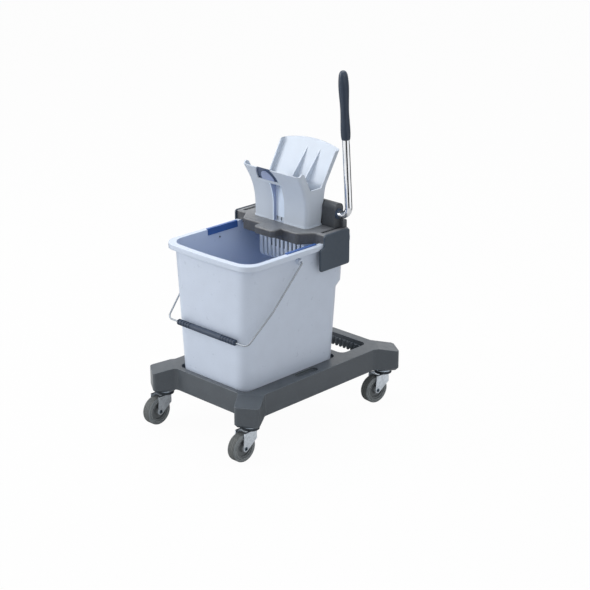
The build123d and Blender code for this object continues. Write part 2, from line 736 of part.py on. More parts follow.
def bent_edges(place, start, end, low, high):
    """Upright line that bends once: straight, a curve between two heights, straight again."""
    slope = place(high) - place(end)
    knee = place(end) - slope * (end - start) / (2 * (high - end))
    bend = Bezier((place(start), start), (knee, (start + end) / 2), (place(end), end))
    return [Line((place(low), low), bend @ 0), bend, Line(bend @ 1, (place(high), high))]


def corner_edges(body, end, low, high):
    """The upright edges where the side walls meet the front (-1) or the back (1)."""
    middle = (FUNNEL_FRONT + FUNNEL_BACK) / 2
    upright = [e for e in body.edges() if low < e.center().Z < high and abs(e.center().X) > FUNNEL_HALF / 2]
    return [e for e in upright if end * (e.center().Y - middle) > FUNNEL_WALL * 4]


def funnel_solid(inset=0.0):
    low = SLAB_TOP
    high = FUNNEL_CROWN + OVERCUT
    front = bent_edges(lambda z: funnel_front(z) + inset, FLARE_FROM, FLARE_TO, low, high)
    back = bent_edges(lambda z: funnel_back(z) - inset, LEAN_FROM, LEAN_TO, low, high)
    ends = [Line(front[0] @ 0, back[0] @ 0), Line(front[-1] @ 1, back[-1] @ 1)]
    across = 2 * FUNNEL_HALF
    body = prism_x(make_face(front + back + ends), -across, across)
    near = funnel_front(high) - across
    far = funnel_back(high) + across
    walls = []
    for z in (low, high):
        near_half = funnel_half(near, z) - inset
        far_half = funnel_half(far, z) - inset
        plan = polygon((-near_half, near), (near_half, near), (far_half, far), (-far_half, far))
        walls.append(Plane.XY.offset(z) * plan)
    body &= loft(walls, ruled=True)
    body = fillet(corner_edges(body, -1, low, high), FUNNEL_FRONT_R - inset)
    return fillet(corner_edges(body, 1, low, high), max(FUNNEL_BACK_R - inset, FUNNEL_BACK_R / 5))


def funnel():
    bottom = SLAB_TOP - FUNNEL_SPIGOT
    body = funnel_solid() + at_height(funnel_plan(), bottom, SLAB_TOP)
    body += at_height(funnel_plan(FUNNEL_BEAD), SLAB_TOP, SLAB_TOP + FUNNEL_BEAD_HEIGHT)
    body -= funnel_solid(FUNNEL_WALL)
    body -= at_height(funnel_plan(-FUNNEL_WALL), bottom, SLAB_TOP)

    sky = FUNNEL_CROWN + FUNNEL_WALL
    far = funnel_front(sky)
    plate_front = funnel_back(FUNNEL_CROWN) - PLATE_RETURN
    mouth = polygon(
        (SIDE_FRONT_Y, SIDE_Z),
        (SIDE_BACK_Y, SIDE_Z),
        (plate_front, FUNNEL_CROWN),
        (plate_front, sky),
        (far, sky),
        (far, FRONT_RIM_Z),
        (HORN_Y - HORN_RUN, FRONT_RIM_Z),
        (HORN_Y, HORN_Z),
        (HORN_Y + HORN_RUN, (FRONT_RIM_Z + HORN_Z) / 2),
    )
    mouth = fillet(mouth.vertices().group_by(Axis.Y)[0], SIDE_CORNER_R)
    body -= prism_x(mouth, -2 * PLATE_HALF, 2 * PLATE_HALF)

    arch = make_face(
        [
            Line((-PLATE_HALF, SIDE_Z), (-PLATE_HALF, PLATE_SHOULDER_Z)),
            ThreePointArc((-PLATE_HALF, PLATE_SHOULDER_Z), (0, PLATE_TOP_Z), (PLATE_HALF, PLATE_SHOULDER_Z)),
            Line((PLATE_HALF, PLATE_SHOULDER_Z), (PLATE_HALF, SIDE_Z)),
            Line((PLATE_HALF, SIDE_Z), (-PLATE_HALF, SIDE_Z)),
        ]
    )
    arch = fillet(arch.vertices().group_by(Axis.Y)[-1], PLATE_CORNER_R)
    above = Pos(0, (SIDE_Z + sky) / 2) * Rectangle(4 * PLATE_HALF, sky - SIDE_Z) - arch
    body -= Pos(0, funnel_back(sky), 0) * extrude(Plane.XZ * above, funnel_back(sky) - SIDE_FRONT_Y)

    fin = polygon(
        (funnel_back(FIN_TOP_Z) - FUNNEL_WALL, FIN_TOP_Z),
        (funnel_back(FIN_TOP_Z) - 0.5 * FUNNEL_WALL, FIN_TOP_Z),
        (funnel_back(FIN_BOTTOM_Z) - 0.5 * FUNNEL_WALL, FIN_BOTTOM_Z),
        (funnel_back(FIN_BOTTOM_Z) - FUNNEL_WALL - FIN_DEPTH, FIN_BOTTOM_Z),
    )
    for x in FIN_X:
        body += prism_x(fin, x - FIN_THICK / 2, x + FIN_THICK / 2)
    body -= through_front(catch_arch(CATCH_HALF, CATCH_RISE))
    body = add_channel(body)
    behind = CHANNEL_BED + CHANNEL_WALL + OVERCUT
    for x in DRAIN_X:
        left = x - DRAIN_WIDTH / 2
        body -= block(left, left + DRAIN_WIDTH, 0, behind, SLAB_TOP, SLAB_TOP + DRAIN_HEIGHT)
    return add_hinge_seats(body)


def channel_plan(z):
    """Section of the channel in the front wall, with the sloped strip on its left."""
    face = funnel_front(z)
    ahead = face - 2 * SHOULDER_DEPTH
    return polygon(
        (CHANNEL_LEFT - 3 * SHOULDER_WIDTH, ahead),
        (CHANNEL_RIGHT, ahead),
        (CHANNEL_RIGHT, CHANNEL_BED),
        (CHANNEL_LEFT, CHANNEL_BED),
        (CHANNEL_LEFT, face + SHOULDER_DEPTH),
    )


def channel_backing(z):
    """Section of the box behind the channel."""
    left = CHANNEL_LEFT - CHANNEL_WALL
    right = CHANNEL_RIGHT + CHANNEL_WALL
    front = funnel_front(z) + FUNNEL_WALL / 2
    back = CHANNEL_BED + CHANNEL_WALL
    return polygon((left, front), (right, front), (right, back), (left, back))


def add_channel(body):
    """Channel down the front wall, as a box that stands into the funnel."""
    steps = int((CHANNEL_TOP - SLAB_TOP) / CHANNEL_STEP)
    levels = [mix(SLAB_TOP, CHANNEL_TOP, i / steps) for i in range(steps + 1)]
    around = [SLAB_TOP - FUNNEL_SPIGOT] + levels + [CHANNEL_TOP + CHANNEL_WALL]
    body += loft([Plane.XY.offset(z) * channel_backing(z) for z in around], ruled=True)
    return body - loft([Plane.XY.offset(z) * channel_plan(z) for z in levels], ruled=True)


def catch_arch(half, rise):
    """Upright half ellipse above the channel, cut off where the wall has its rim."""
    tall = min(rise, FRONT_RIM_Z - CATCH_Z)
    upper = Ellipse(half, rise) & Pos(0, tall / 2) * Rectangle(2 * half, tall)
    return Pos(CATCH_X, CATCH_Z) * upper


def through_front(sketch):
    """A sketch in X and Z, carried through the front wall."""
    return Pos(0, SIDE_FRONT_Y, 0) * extrude(Plane.XZ * sketch, 4 * SIDE_FRONT_Y)


def front_layer(depth, thick, sketch):
    """Part of a layer that follows the front wall at one depth under its face."""
    layer = funnel_solid(depth) - funnel_solid(depth + thick)
    return layer & through_front(sketch)


def catch_plate():
    """Dark plate that closes the notch in the front wall from behind."""
    return front_layer(FUNNEL_WALL, CATCH_SHEET, catch_arch(CATCH_HALF + CATCH_LAP, CATCH_RISE + CATCH_LAP))


def catch_tongue():
    """Rounded tongue that stands in the notch."""
    return front_layer(TONGUE_SET, FUNNEL_WALL - TONGUE_SET, catch_arch(TONGUE_HALF, TONGUE_RISE))


def add_hinge_seats(body):
    """Bosses for the jaw's pin on the side walls, and windows in the back wall for the cams."""
    inner = JAW_HALF + PART_GAP
    for side in (-1, 1):
        body += rod_x(JAW_BARREL_R, *sorted((side * inner, side * HINGE_PIN_HALF)), HINGE_Y, HINGE_Z)
        body -= rod_x(HINGE_PIN_R, *sorted((0, side * HINGE_PIN_HALF)), HINGE_Y, HINGE_Z)
    reach = CAM_WIDTH / 2 + WINDOW_AIR
    tall = JAW_PAD_HALF + 2 * WINDOW_AIR
    front = HINGE_Y - JAW_BARREL_R - JAW_THICK
    for x in (-CAM_X, CAM_X):
        body -= block(x - reach, x + reach, front, SLAB_BACK, SHAFT_Z - tall, SHAFT_Z + tall)
    return body


def basket_section(top, inset=0.0):
    front = BASKET_FRONT + inset
    back = BASKET_BACK - inset
    bottom = BASKET_BOTTOM + inset
    cup = polygon((front, top), (front, bottom), (back, bottom), (back, top))
    return fillet(cup.vertices().group_by(Axis.Y)[0], BASKET_CORNER_R - inset)


def drain_basket():
    rim_z = SLAB_TOP - FUNNEL_SPIGOT
    body = prism_x(basket_section(rim_z), -BASKET_HALF, BASKET_HALF)
    body += at_height(funnel_plan(), rim_z - BASKET_FLANGE, rim_z)
    cavity = basket_section(rim_z + OVERCUT, BASKET_WALL)
    body -= prism_x(cavity, -BASKET_HALF + BASKET_WALL, BASKET_HALF - BASKET_WALL)
    top = rim_z - BAR_TOP_MARGIN
    gaps = int((BASKET_HALF - BASKET_WALL) / BAR_PITCH)
    middle = (BASKET_FRONT + BASKET_BACK) / 2
    for i in range(-gaps, gaps):
        x = (i + 0.5) * BAR_PITCH
        x0 = x - BAR_GAP / 2
        x1 = x + BAR_GAP / 2
        body -= block(x0, x1, BASKET_FRONT - OVERCUT, middle, BASKET_BOTTOM - OVERCUT, top)
        body -= block(x0, x1, middle, BASKET_BACK + OVERCUT, BASKET_BOTTOM - OVERCUT, BAR_BACK_TOP)
    return body


# Shaft housing, cams and lever


def hood_plan(inset=0.0):
    plan = polygon(
        (HOOD_FRONT + inset, SLAB_TOP),
        (HOOD_FRONT + inset, HOOD_TOP - inset),
        (SLAB_BACK - inset, HOOD_TOP - inset),
        (SLAB_BACK - inset, SLAB_TOP),
    )
    return fillet(plan.vertices().group_by(Axis.Y)[-1], HOOD_CROWN_R - inset)


def bush_outer(side):
    return (LEVER_R if side > 0 else SHAFT_R) + RUN_GAP + BUSH_WALL


def shaft_housing():
    body = prism_x(hood_plan(), -HOOD_HALF, HOOD_HALF)
    body -= prism_x(hood_plan(HOOD_SKIN), -HOOD_HALF + HOOD_SKIN, HOOD_HALF - HOOD_SKIN)
    for side in (-1, 1):
        outer = bush_outer(side)
        ends = sorted((side * (HOOD_HALF - HOOD_BOSS), side * HOOD_HALF))
        boss = rod_x(outer + HOOD_BOSS_WALL, *ends, SHAFT_Y, SHAFT_Z)
        body += boss & prism_x(hood_plan(), -HOOD_HALF, HOOD_HALF)
        ends = sorted((side * (HOOD_HALF - 2 * HOOD_BOSS), side * 2 * HOOD_HALF))
        body -= rod_x(outer, *ends, SHAFT_Y, SHAFT_Z)
        ends = sorted((side * (HOOD_HALF - HOOD_SKIN), side * HOOD_FOOT_HALF))
        foot = block(*ends, HOOD_FOOT_FRONT, SLAB_BACK, SLAB_TOP, HOOD_FOOT_TOP)
        body += fillet(foot.edges().group_by(Axis.Z)[-1], HOOD_FOOT_R)
        x = side * SCREW_X
        web = HOOD_SKIN / 2
        body += block(x - web, x + web, HOOD_FRONT + web, SLAB_BACK - web, SLAB_TOP, SLAB_TOP + SCREW_LENGTH)
        bore = 2 * (SCREW_LENGTH - SLAB_SKIN)
        for y in SCREW_Y:
            body += Pos(x, y, SLAB_TOP + SCREW_LENGTH / 2) * Cylinder(SCREW_POST_R, SCREW_LENGTH)
            body -= Pos(x, y, SLAB_TOP) * Cylinder(SCREW_R + SLIP_GAP, bore)
    half = FUNNEL_HALF + FUNNEL_BEAD + PART_GAP
    behind = FUNNEL_BEAD + PART_GAP
    clear = polygon(
        (0, SLAB_TOP),
        (funnel_back(SLAB_TOP) + behind, SLAB_TOP),
        (funnel_back(HOOD_TOP) + behind, HOOD_TOP),
        (0, HOOD_TOP),
    )
    return body - prism_x(clear, -half, half)


def shaft_bush(side):
    bore = (LEVER_R if side > 0 else SHAFT_R) + RUN_GAP
    outer = bush_outer(side)
    sleeve = rod_x(outer, HOOD_HALF - HOOD_BOSS, HOOD_HALF)
    sleeve += rod_x(outer + BUSH_FLANGE, HOOD_HALF, HOOD_HALF + BUSH_FLANGE)
    sleeve -= rod_x(bore, 0, 2 * HOOD_HALF)
    sleeve = Pos(0, SHAFT_Y, SHAFT_Z) * sleeve
    return sleeve if side > 0 else mirror(sleeve, Plane.YZ)


def housing_screw(side, y):
    under = SLAB_TOP - SLAB_SKIN
    length = SCREW_LENGTH - SLAB_SKIN
    screw = Pos(0, 0, under - SCREW_HEAD / 2) * Cylinder(SCREW_HEAD_R, SCREW_HEAD)
    screw += Pos(0, 0, under + length / 2) * Cylinder(SCREW_R, length)
    return Pos(side * SCREW_X, y, 0) * screw


ON_SHAFT = Pos(0, SHAFT_Y, SHAFT_Z)
LEVER_START = HOOD_HALF - LEVER_SLEEVE
LEVER_BORE = LEVER_R - LEVER_TUBE_WALL
CROSS_PIN_X = LEVER_START + LEVER_SLEEVE / 3


def leaned(shape):
    return ON_SHAFT * Rot(X=LEVER_LEAN) * shape


def lever_tube():
    top = LEVER_TOP - 2 * LEVER_GRIP_CAP
    path = FilletPolyline((LEVER_START, 0, 0), (LEVER_X, 0, 0), (LEVER_X, 0, top), radius=LEVER_BEND_R)
    start = Plane((LEVER_START, 0, 0), z_dir=(1, 0, 0))
    tube = sweep(start * (Circle(LEVER_R) - Circle(LEVER_BORE)), path=path)
    tube -= Pos(CROSS_PIN_X, 0, 0) * Cylinder(CROSS_PIN_R, 4 * LEVER_R)
    return leaned(tube)


def lever_grip():
    foot = LEVER_TOP - LEVER_GRIP_LENGTH
    outline = Spline(
        (LEVER_GRIP_FOOT_R, foot),
        (LEVER_GRIP_HEEL_R, foot + LEVER_GRIP_HEEL),
        (LEVER_GRIP_WAIST_R, foot + LEVER_GRIP_WAIST),
        (LEVER_GRIP_R, LEVER_TOP - LEVER_GRIP_HEAD),
        (LEVER_GRIP_BROW_R, LEVER_TOP - 2 * LEVER_GRIP_CAP),
        (0, LEVER_TOP),
        tangents=[(0.2, 1), (-1, 0)],
    )
    sides = Polyline((0, LEVER_TOP), (0, foot), (LEVER_GRIP_FOOT_R, foot))
    body = revolve(Plane.XZ * make_face([outline] + list(sides.edges())), Axis.Z)
    tube_top = LEVER_TOP - 2 * LEVER_GRIP_CAP
    body -= Pos(0, 0, tube_top / 2) * Cylinder(LEVER_R, tube_top)
    return leaned(Pos(LEVER_X, 0, 0) * body)


def cam_shaft():
    shaft = rod_x(SHAFT_R, -HOOD_HALF, LEVER_START + LEVER_SLEEVE - SLIP_GAP)
    shaft -= Pos(CROSS_PIN_X, 0, 0) * Cylinder(CROSS_PIN_R, 4 * SHAFT_R)
    return leaned(shaft)


def cross_pin():
    return leaned(Pos(CROSS_PIN_X, 0, 0) * Cylinder(CROSS_PIN_R, 2 * (LEVER_R - PART_GAP)))


def cam_point(turn):
    """Point of the cam that bears on the jaw's flat pad after the lever has turned this many degrees."""
    share = JAW_TURN / LEVER_TURN
    swing = radians(share * turn)
    facing = radians(180 - turn) - swing
    across = SHAFT_Y - HINGE_Y
    arm = HINGE_Z - SHAFT_Z
    reach = CAM_R + across * (cos(swing) - 1) + arm * sin(swing)
    lead = (arm * cos(swing) - across * sin(swing)) * share / (1 + share)
    return (reach * cos(facing) + lead * sin(facing), reach * sin(facing) - lead * cos(facing))


def cam(side):
    rise = [cam_point(LEVER_TURN * i / CAM_STEPS) for i in range(CAM_STEPS + 1)]
    heel = (-CAM_R, 0)
    lobe = make_face([Line(heel, rise[0]), Spline(*rise), Line(rise[-1], (0, 0)), Line((0, 0), heel)])
    lobe += Circle(CAM_R)
    lobe -= Circle(SHAFT_R)
    return ON_SHAFT * prism_x(lobe, side * CAM_X - CAM_WIDTH / 2, side * CAM_X + CAM_WIDTH / 2)


def return_spring():
    """Torsion spring round the shaft's left end, as the plain sleeve that its coils fill."""
    inner = SHAFT_R
    start = HOOD_BOSS - HOOD_HALF + OVERCUT
    sleeve = rod_x(inner + SPRING_WIRE, start, start + SPRING_LENGTH)
    sleeve -= rod_x(inner, -HOOD_HALF, 0)
    return ON_SHAFT * sleeve


# Press jaw


def press_jaw():
    knee_back = BASKET_BACK - BASKET_WALL - JAW_BACK_AIR
    plate = polygon(
        (HINGE_Y, HINGE_Z),
        (knee_back, JAW_KNEE_Z),
        (knee_back, JAW_FOOT_Z),
        (knee_back - JAW_THICK, JAW_FOOT_Z),
        (knee_back - JAW_THICK, JAW_KNEE_Z),
        (HINGE_Y - JAW_BARREL_R, HINGE_Z),
    )
    rib = polygon(
        (knee_back - JAW_THICK, JAW_FOOT_Z),
        (knee_back - JAW_THICK, JAW_KNEE_Z),
        (HINGE_Y - JAW_BARREL_R, HINGE_Z - JAW_BARREL_R),
        (HINGE_Y - JAW_BARREL_R - JAW_RIB, HINGE_Z - 2 * JAW_BARREL_R),
        (knee_back - JAW_THICK - JAW_RIB, JAW_KNEE_Z),
        (knee_back - JAW_THICK - JAW_RIB, JAW_FOOT_Z + JAW_RIB),
    )
    body = prism_x(plate, -JAW_HALF, JAW_HALF)
    body += rod_x(JAW_BARREL_R, -JAW_HALF, JAW_HALF, HINGE_Y, HINGE_Z)
    pitch = 2 * (JAW_HALF - JAW_RIB_WIDTH) / (JAW_RIBS - 1)
    for i in range(JAW_RIBS):
        x = -JAW_HALF + JAW_RIB_WIDTH + i * pitch
        body += prism_x(rib, x - JAW_RIB_WIDTH / 2, x + JAW_RIB_WIDTH / 2)
    pad_back = SHAFT_Y - CAM_R - CAM_AIR
    low = SHAFT_Z - JAW_PAD_HALF
    high = SHAFT_Z + JAW_PAD_HALF
    for x in (-CAM_X, CAM_X):
        body += block(x - CAM_WIDTH / 2, x + CAM_WIDTH / 2, knee_back, pad_back, low, high)
    return body - rod_x(HINGE_PIN_R + RUN_GAP, -2 * JAW_HALF, 2 * JAW_HALF, HINGE_Y, HINGE_Z)


def hinge_pin():
    return rod_x(HINGE_PIN_R, -HINGE_PIN_HALF, HINGE_PIN_HALF, HINGE_Y, HINGE_Z)


def build():
    pieces = {"chassis": chassis()}
    castor = {"swivel_stem": swivel_stem(), "fork": fork(), "axle": axle(), "hub": hub(), "tyre": tyre()}
    for corner, (side, end) in CORNERS.items():
        for name, shape in castor.items():
            turn = Rot(Z=CASTOR_TURNS[corner])
            pieces[corner + "_" + name] = Pos(side * SWIVEL_X, end * SWIVEL_Y, 0) * turn * shape
    pieces["bucket"] = bucket()
    pieces["left_colour_clip"] = colour_clip(-1)
    pieces["right_colour_clip"] = colour_clip(1)
    pieces["bail_wire"] = bail_wire()
    pieces["bail_grip"] = bail_grip()
    pieces["press_frame"] = press_frame()
    pieces["left_rim_bracket"] = rim_bracket(-1)
    pieces["right_rim_bracket"] = rim_bracket(1)
    pieces["funnel"] = funnel()
    pieces["catch_plate"] = catch_plate()
    pieces["catch_tongue"] = catch_tongue()
    pieces["drain_basket"] = drain_basket()
    pieces["shaft_housing"] = shaft_housing()
    pieces["left_shaft_bush"] = shaft_bush(-1)
    pieces["right_shaft_bush"] = shaft_bush(1)
    for name, side, y in SCREWS:
        pieces[name + "_housing_screw"] = housing_screw(side, y)
    pieces["lever_tube"] = lever_tube()
    pieces["lever_grip"] = lever_grip()
    pieces["cam_shaft"] = cam_shaft()
    pieces["cross_pin"] = cross_pin()
    pieces["left_cam"] = cam(-1)
    pieces["right_cam"] = cam(1)
    pieces["return_spring"] = return_spring()
    pieces["press_jaw"] = press_jaw()
    pieces["hinge_pin"] = hinge_pin()
    return pieces


def main():
    """Write each piece, moved so that the origin is on the floor under the middle of the whole outline."""
    os.makedirs("parts", exist_ok=True)
    pieces = build()
    boxes = [shape.bounding_box() for shape in pieces.values()]
    front = min(box.min.Y for box in boxes)
    back = max(box.max.Y for box in boxes)
    centre = Pos(0, -(front + back) / 2, 0)
    print("moved along Y by", round(-(front + back) / 2, 3))
    for name, shape in pieces.items():
        export_step(centre * shape, f"parts/{name}.step")


main()
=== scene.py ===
# %% [markdown]
# # A mop bucket trolley, dressed for a studio picture
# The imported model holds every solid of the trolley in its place: the wheeled chassis, the bucket with its
# bail, and the lever press with its funnel. Blender adds what a solid can't show. Each step below first says
# what the real thing is, then how it is made here and why.

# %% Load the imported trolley
import json
from math import atan2, cos, pi, radians, sin

import bmesh
import bpy
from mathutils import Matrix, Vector


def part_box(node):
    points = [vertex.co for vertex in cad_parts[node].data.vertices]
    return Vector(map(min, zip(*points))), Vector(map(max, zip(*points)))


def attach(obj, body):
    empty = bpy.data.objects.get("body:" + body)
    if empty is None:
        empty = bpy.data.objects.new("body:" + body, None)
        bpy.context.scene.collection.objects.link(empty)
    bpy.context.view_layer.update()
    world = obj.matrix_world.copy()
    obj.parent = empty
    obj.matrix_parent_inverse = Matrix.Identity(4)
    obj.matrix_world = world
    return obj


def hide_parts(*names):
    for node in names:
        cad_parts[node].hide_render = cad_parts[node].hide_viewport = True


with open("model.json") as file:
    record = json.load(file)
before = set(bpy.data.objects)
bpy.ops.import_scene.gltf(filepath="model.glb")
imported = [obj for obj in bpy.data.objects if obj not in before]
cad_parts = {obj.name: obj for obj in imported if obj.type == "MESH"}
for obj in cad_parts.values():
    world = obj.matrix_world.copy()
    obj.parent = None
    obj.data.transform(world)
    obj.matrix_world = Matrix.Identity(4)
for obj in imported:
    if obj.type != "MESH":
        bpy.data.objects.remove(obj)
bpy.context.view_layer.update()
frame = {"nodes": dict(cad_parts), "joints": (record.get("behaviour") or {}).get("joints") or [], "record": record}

nodes = frame["nodes"]
bpy.ops.object.select_all(action="DESELECT")

# %% [markdown]
# ## Camera
# The picture was taken from the front right, from about twenty degrees above level, with a long lens, so upright
# edges stay almost parallel. The camera stands on a sphere round the point it looks at: a turn from the front, a
# rise above level and a distance say the same as a place and three angles, and are easier to read.

# %% Set up the camera
CAMERA_AIM = Vector((0.0771, 0.0068, 0.3482))
CAMERA_TURN = radians(44.12)
CAMERA_RISE = radians(20.25)
CAMERA_DISTANCE = 4.1007
CAMERA_LENS = 96.39
CAMERA_SENSOR = 36.0


def direction(turn, rise):
    """The way to something that stands at a turn from the front and a rise above level."""
    return Vector((sin(turn) * cos(rise), -cos(turn) * cos(rise), sin(rise)))


def looking_back(way):
    """The angles of a camera, lamp or card that went out along a way and looks back."""
    return way.to_track_quat("Z", "Y").to_euler()


outward = direction(CAMERA_TURN, CAMERA_RISE)
bpy.ops.object.camera_add(location=CAMERA_AIM + CAMERA_DISTANCE * outward)
camera = bpy.context.object
camera.name = "studio_camera"
camera.rotation_euler = looking_back(outward)
camera.data.lens = CAMERA_LENS
camera.data.sensor_fit = "HORIZONTAL"
camera.data.sensor_width = CAMERA_SENSOR
bpy.context.scene.camera = camera
print("camera at", [round(v, 3) for v in camera.location])

# %% [markdown]
# ## Floor
# The trolley stands on a white studio floor that runs out of the picture on every side. The floor is a plane
# with a smaller square inset in it, scaled up in edit mode until its rim is far outside the picture. Its
# material gives rays from the camera mostly plain white and some of the real shading, so the background is
# white and a soft shadow still shows.

# %% Lay the floor
FLOOR_SIZE = 6.0
FLOOR_BORDER = FLOOR_SIZE / 4
FLOOR_SCALE = 6.0

bpy.ops.object.select_all(action="DESELECT")
bpy.ops.mesh.primitive_plane_add(size=FLOOR_SIZE)
floor = bpy.context.object
floor.name = "studio_floor"
bpy.ops.object.mode_set(mode="EDIT")
bpy.ops.mesh.select_all(action="SELECT")
bpy.ops.mesh.inset(thickness=FLOOR_BORDER)
bpy.ops.mesh.select_all(action="SELECT")
bpy.ops.transform.resize(value=(FLOOR_SCALE, FLOOR_SCALE, 1))
bpy.ops.object.mode_set(mode="OBJECT")
print("floor is", round(floor.dimensions.x, 1), "m wide")

# %% Paint the floor
FLOOR_WHITE = 0.6
FLOOR_SHOWN = 0.97


def calculate(tree, operation, first, second):
    """A Math node. What goes in is another node's socket or a plain number."""
    node = tree.nodes.new("ShaderNodeMath")
    node.operation = operation
    for socket, value in zip(node.inputs, (first, second)):
        if isinstance(value, bpy.types.NodeSocket):
            tree.links.new(value, socket)
        else:
            socket.default_value = value
    return node.outputs["Value"]


floor_finish = bpy.data.materials.new("studio_white")
floor_finish.use_nodes = True
tree = floor_finish.node_tree
tree.nodes.clear()
shaded = tree.nodes.new("ShaderNodeBsdfDiffuse")
shaded.inputs["Color"].default_value = (FLOOR_WHITE, FLOOR_WHITE, FLOOR_WHITE, 1)
plain = tree.nodes.new("ShaderNodeEmission")
ray = tree.nodes.new("ShaderNodeLightPath")
blend = tree.nodes.new("ShaderNodeMixShader")
output = tree.nodes.new("ShaderNodeOutputMaterial")
tree.links.new(calculate(tree, "MULTIPLY", ray.outputs["Is Camera Ray"], FLOOR_SHOWN), blend.inputs["Fac"])
tree.links.new(shaded.outputs["BSDF"], blend.inputs[1])
tree.links.new(plain.outputs["Emission"], blend.inputs[2])
tree.links.new(blend.outputs["Shader"], output.inputs["Surface"])
floor.data.materials.append(floor_finish)
print("the camera sees", FLOOR_SHOWN, "plain white on the floor")

# %% [markdown]
# ## Light
# The studio has a wide ceiling light, a large soft light at the left that makes the bucket's front face the
# brighter one, a weak one at the right that opens the shaded side, and pale walls all round. The walls are the
# world: rays that come from the camera, or from a mirror-like surface, see white, and the rest see the level
# that lights the shaded faces.

# %% Hang the lamps
CEILING_PLACE = Vector((-0.5, 0.3, 3.4))
CEILING_SIZE = 2.6
CEILING_POWER = 76.0
LEFT_PLACE = Vector((-2.6, -2.5, 1.5))
LEFT_SIZE = 1.8
LEFT_POWER = 68.0
RIGHT_PLACE = Vector((2.9, -1.2, 1.4))
RIGHT_SIZE = 2.0
RIGHT_POWER = 15.0


def soft_light(name, place, size, power):
    bpy.ops.object.light_add(type="AREA", location=place)
    lamp = bpy.context.object
    lamp.name = name
    lamp.data.shape = "DISK"
    lamp.data.size = size
    lamp.data.energy = power
    lamp.rotation_euler = looking_back(place - CAMERA_AIM)


soft_light("ceiling_light", CEILING_PLACE, CEILING_SIZE, CEILING_POWER)
soft_light("left_light", LEFT_PLACE, LEFT_SIZE, LEFT_POWER)
soft_light("right_light", RIGHT_PLACE, RIGHT_SIZE, RIGHT_POWER)

# %% Paint the walls
WALL_LEVEL = 0.48


def spread(tree, value, low, high, to_low=0.0, to_high=1.0):
    """A Map Range node: what runs from low to high comes out from to_low to to_high."""
    span = tree.nodes.new("ShaderNodeMapRange")
    span.inputs["From Min"].default_value = low
    span.inputs["From Max"].default_value = high
    span.inputs["To Min"].default_value = to_low
    span.inputs["To Max"].default_value = to_high
    tree.links.new(value, span.inputs["Value"])
    return span.outputs["Result"]


world = bpy.data.worlds.new("pale_walls")
bpy.context.scene.world = world
world.use_nodes = True
tree = world.node_tree
walls = tree.nodes["Background"]
walls.inputs["Color"].default_value = (1, 1, 1, 1)
ray = tree.nodes.new("ShaderNodeLightPath")
seen = calculate(tree, "MAXIMUM", ray.outputs["Is Camera Ray"], ray.outputs["Is Glossy Ray"])
seen = calculate(tree, "MAXIMUM", seen, ray.outputs["Is Transmission Ray"])
tree.links.new(spread(tree, seen, 0.0, 1.0, to_low=WALL_LEVEL), walls.inputs["Strength"])
bpy.context.scene.view_settings.view_transform = "Standard"
print("walls light the trolley at", WALL_LEVEL)

# %% [markdown]
# ## Cards for the chrome
# In a white room a chromed tube is white all over and loses its shape. Photographers stand dark and white
# cards round it, and the tube shows them as stripes. A card here is a plane whose width and height are set in
# edit mode, and which looks at the lever from a turn and a rise, like the camera. Only mirror-like rays see
# it, so it takes no light from the rest. White cards give a plain level of their own, and a small bright one
# high on the left draws a thin line of light along the rounded edges that face it.

# %% Choose the cards
CARD_DISTANCE = 1.2
CARD_DARK = 0.0
CARD_WHITE = 1.0
CARD_BRIGHT = 6.0
LOW = radians(-22.5)
CARDS = {
    "dark_card_by_camera": dict(turn=radians(56), rise=LOW, width=0.72, height=0.4, level=CARD_DARK),
    "dark_card_right": dict(turn=radians(172), rise=LOW, width=1.0, height=0.4, level=CARD_DARK),
    "dark_card_left": dict(turn=radians(-80), rise=LOW, width=0.7, height=0.4, level=CARD_DARK),
    "dark_card_above": dict(turn=radians(-112), rise=radians(42), width=1.1, height=0.9, level=CARD_DARK),
    "white_card_right": dict(turn=radians(108), rise=LOW, width=1.2, height=0.4, level=CARD_WHITE),
    "white_card_left": dict(turn=radians(-16), rise=LOW, width=1.2, height=0.4, level=CARD_WHITE),
    "bright_card_high": dict(turn=radians(-57), rise=radians(40), width=0.45, height=0.4, level=CARD_BRIGHT),
}
lever_low, lever_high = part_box("lever_tube")
lever_middle = (lever_low + lever_high) / 2
print("lever's middle:", [round(v, 3) for v in lever_middle])


# %% Stand the cards round the lever
def settle():
    """Move the selected object's place, turn and size into its mesh."""
    bpy.ops.object.transform_apply(location=True, rotation=True, scale=True)


def stand_card(name, turn, rise, width, height, level):
    away = direction(turn, rise)
    bpy.ops.object.select_all(action="DESELECT")
    bpy.ops.mesh.primitive_plane_add(size=1)
    card = bpy.context.object
    card.name = name
    bpy.ops.object.mode_set(mode="EDIT")
    bpy.ops.mesh.select_all(action="SELECT")
    bpy.ops.transform.resize(value=(width, height, 1))
    bpy.ops.object.mode_set(mode="OBJECT")
    card.rotation_euler = looking_back(away)
    card.location = lever_middle + CARD_DISTANCE * away
    settle()
    card.visible_camera = False
    card.visible_diffuse = False
    card.visible_transmission = False
    card.visible_shadow = False
    finish = bpy.data.materials.new(name)
    finish.use_nodes = True
    tree = finish.node_tree
    glow = tree.nodes.new("ShaderNodeEmission")
    glow.inputs["Strength"].default_value = level
    tree.links.new(glow.outputs["Emission"], tree.nodes["Material Output"].inputs["Surface"])
    card.data.materials.append(finish)


for name, card_facts in CARDS.items():
    stand_card(name, **card_facts)
print("cards:", sorted(CARDS))
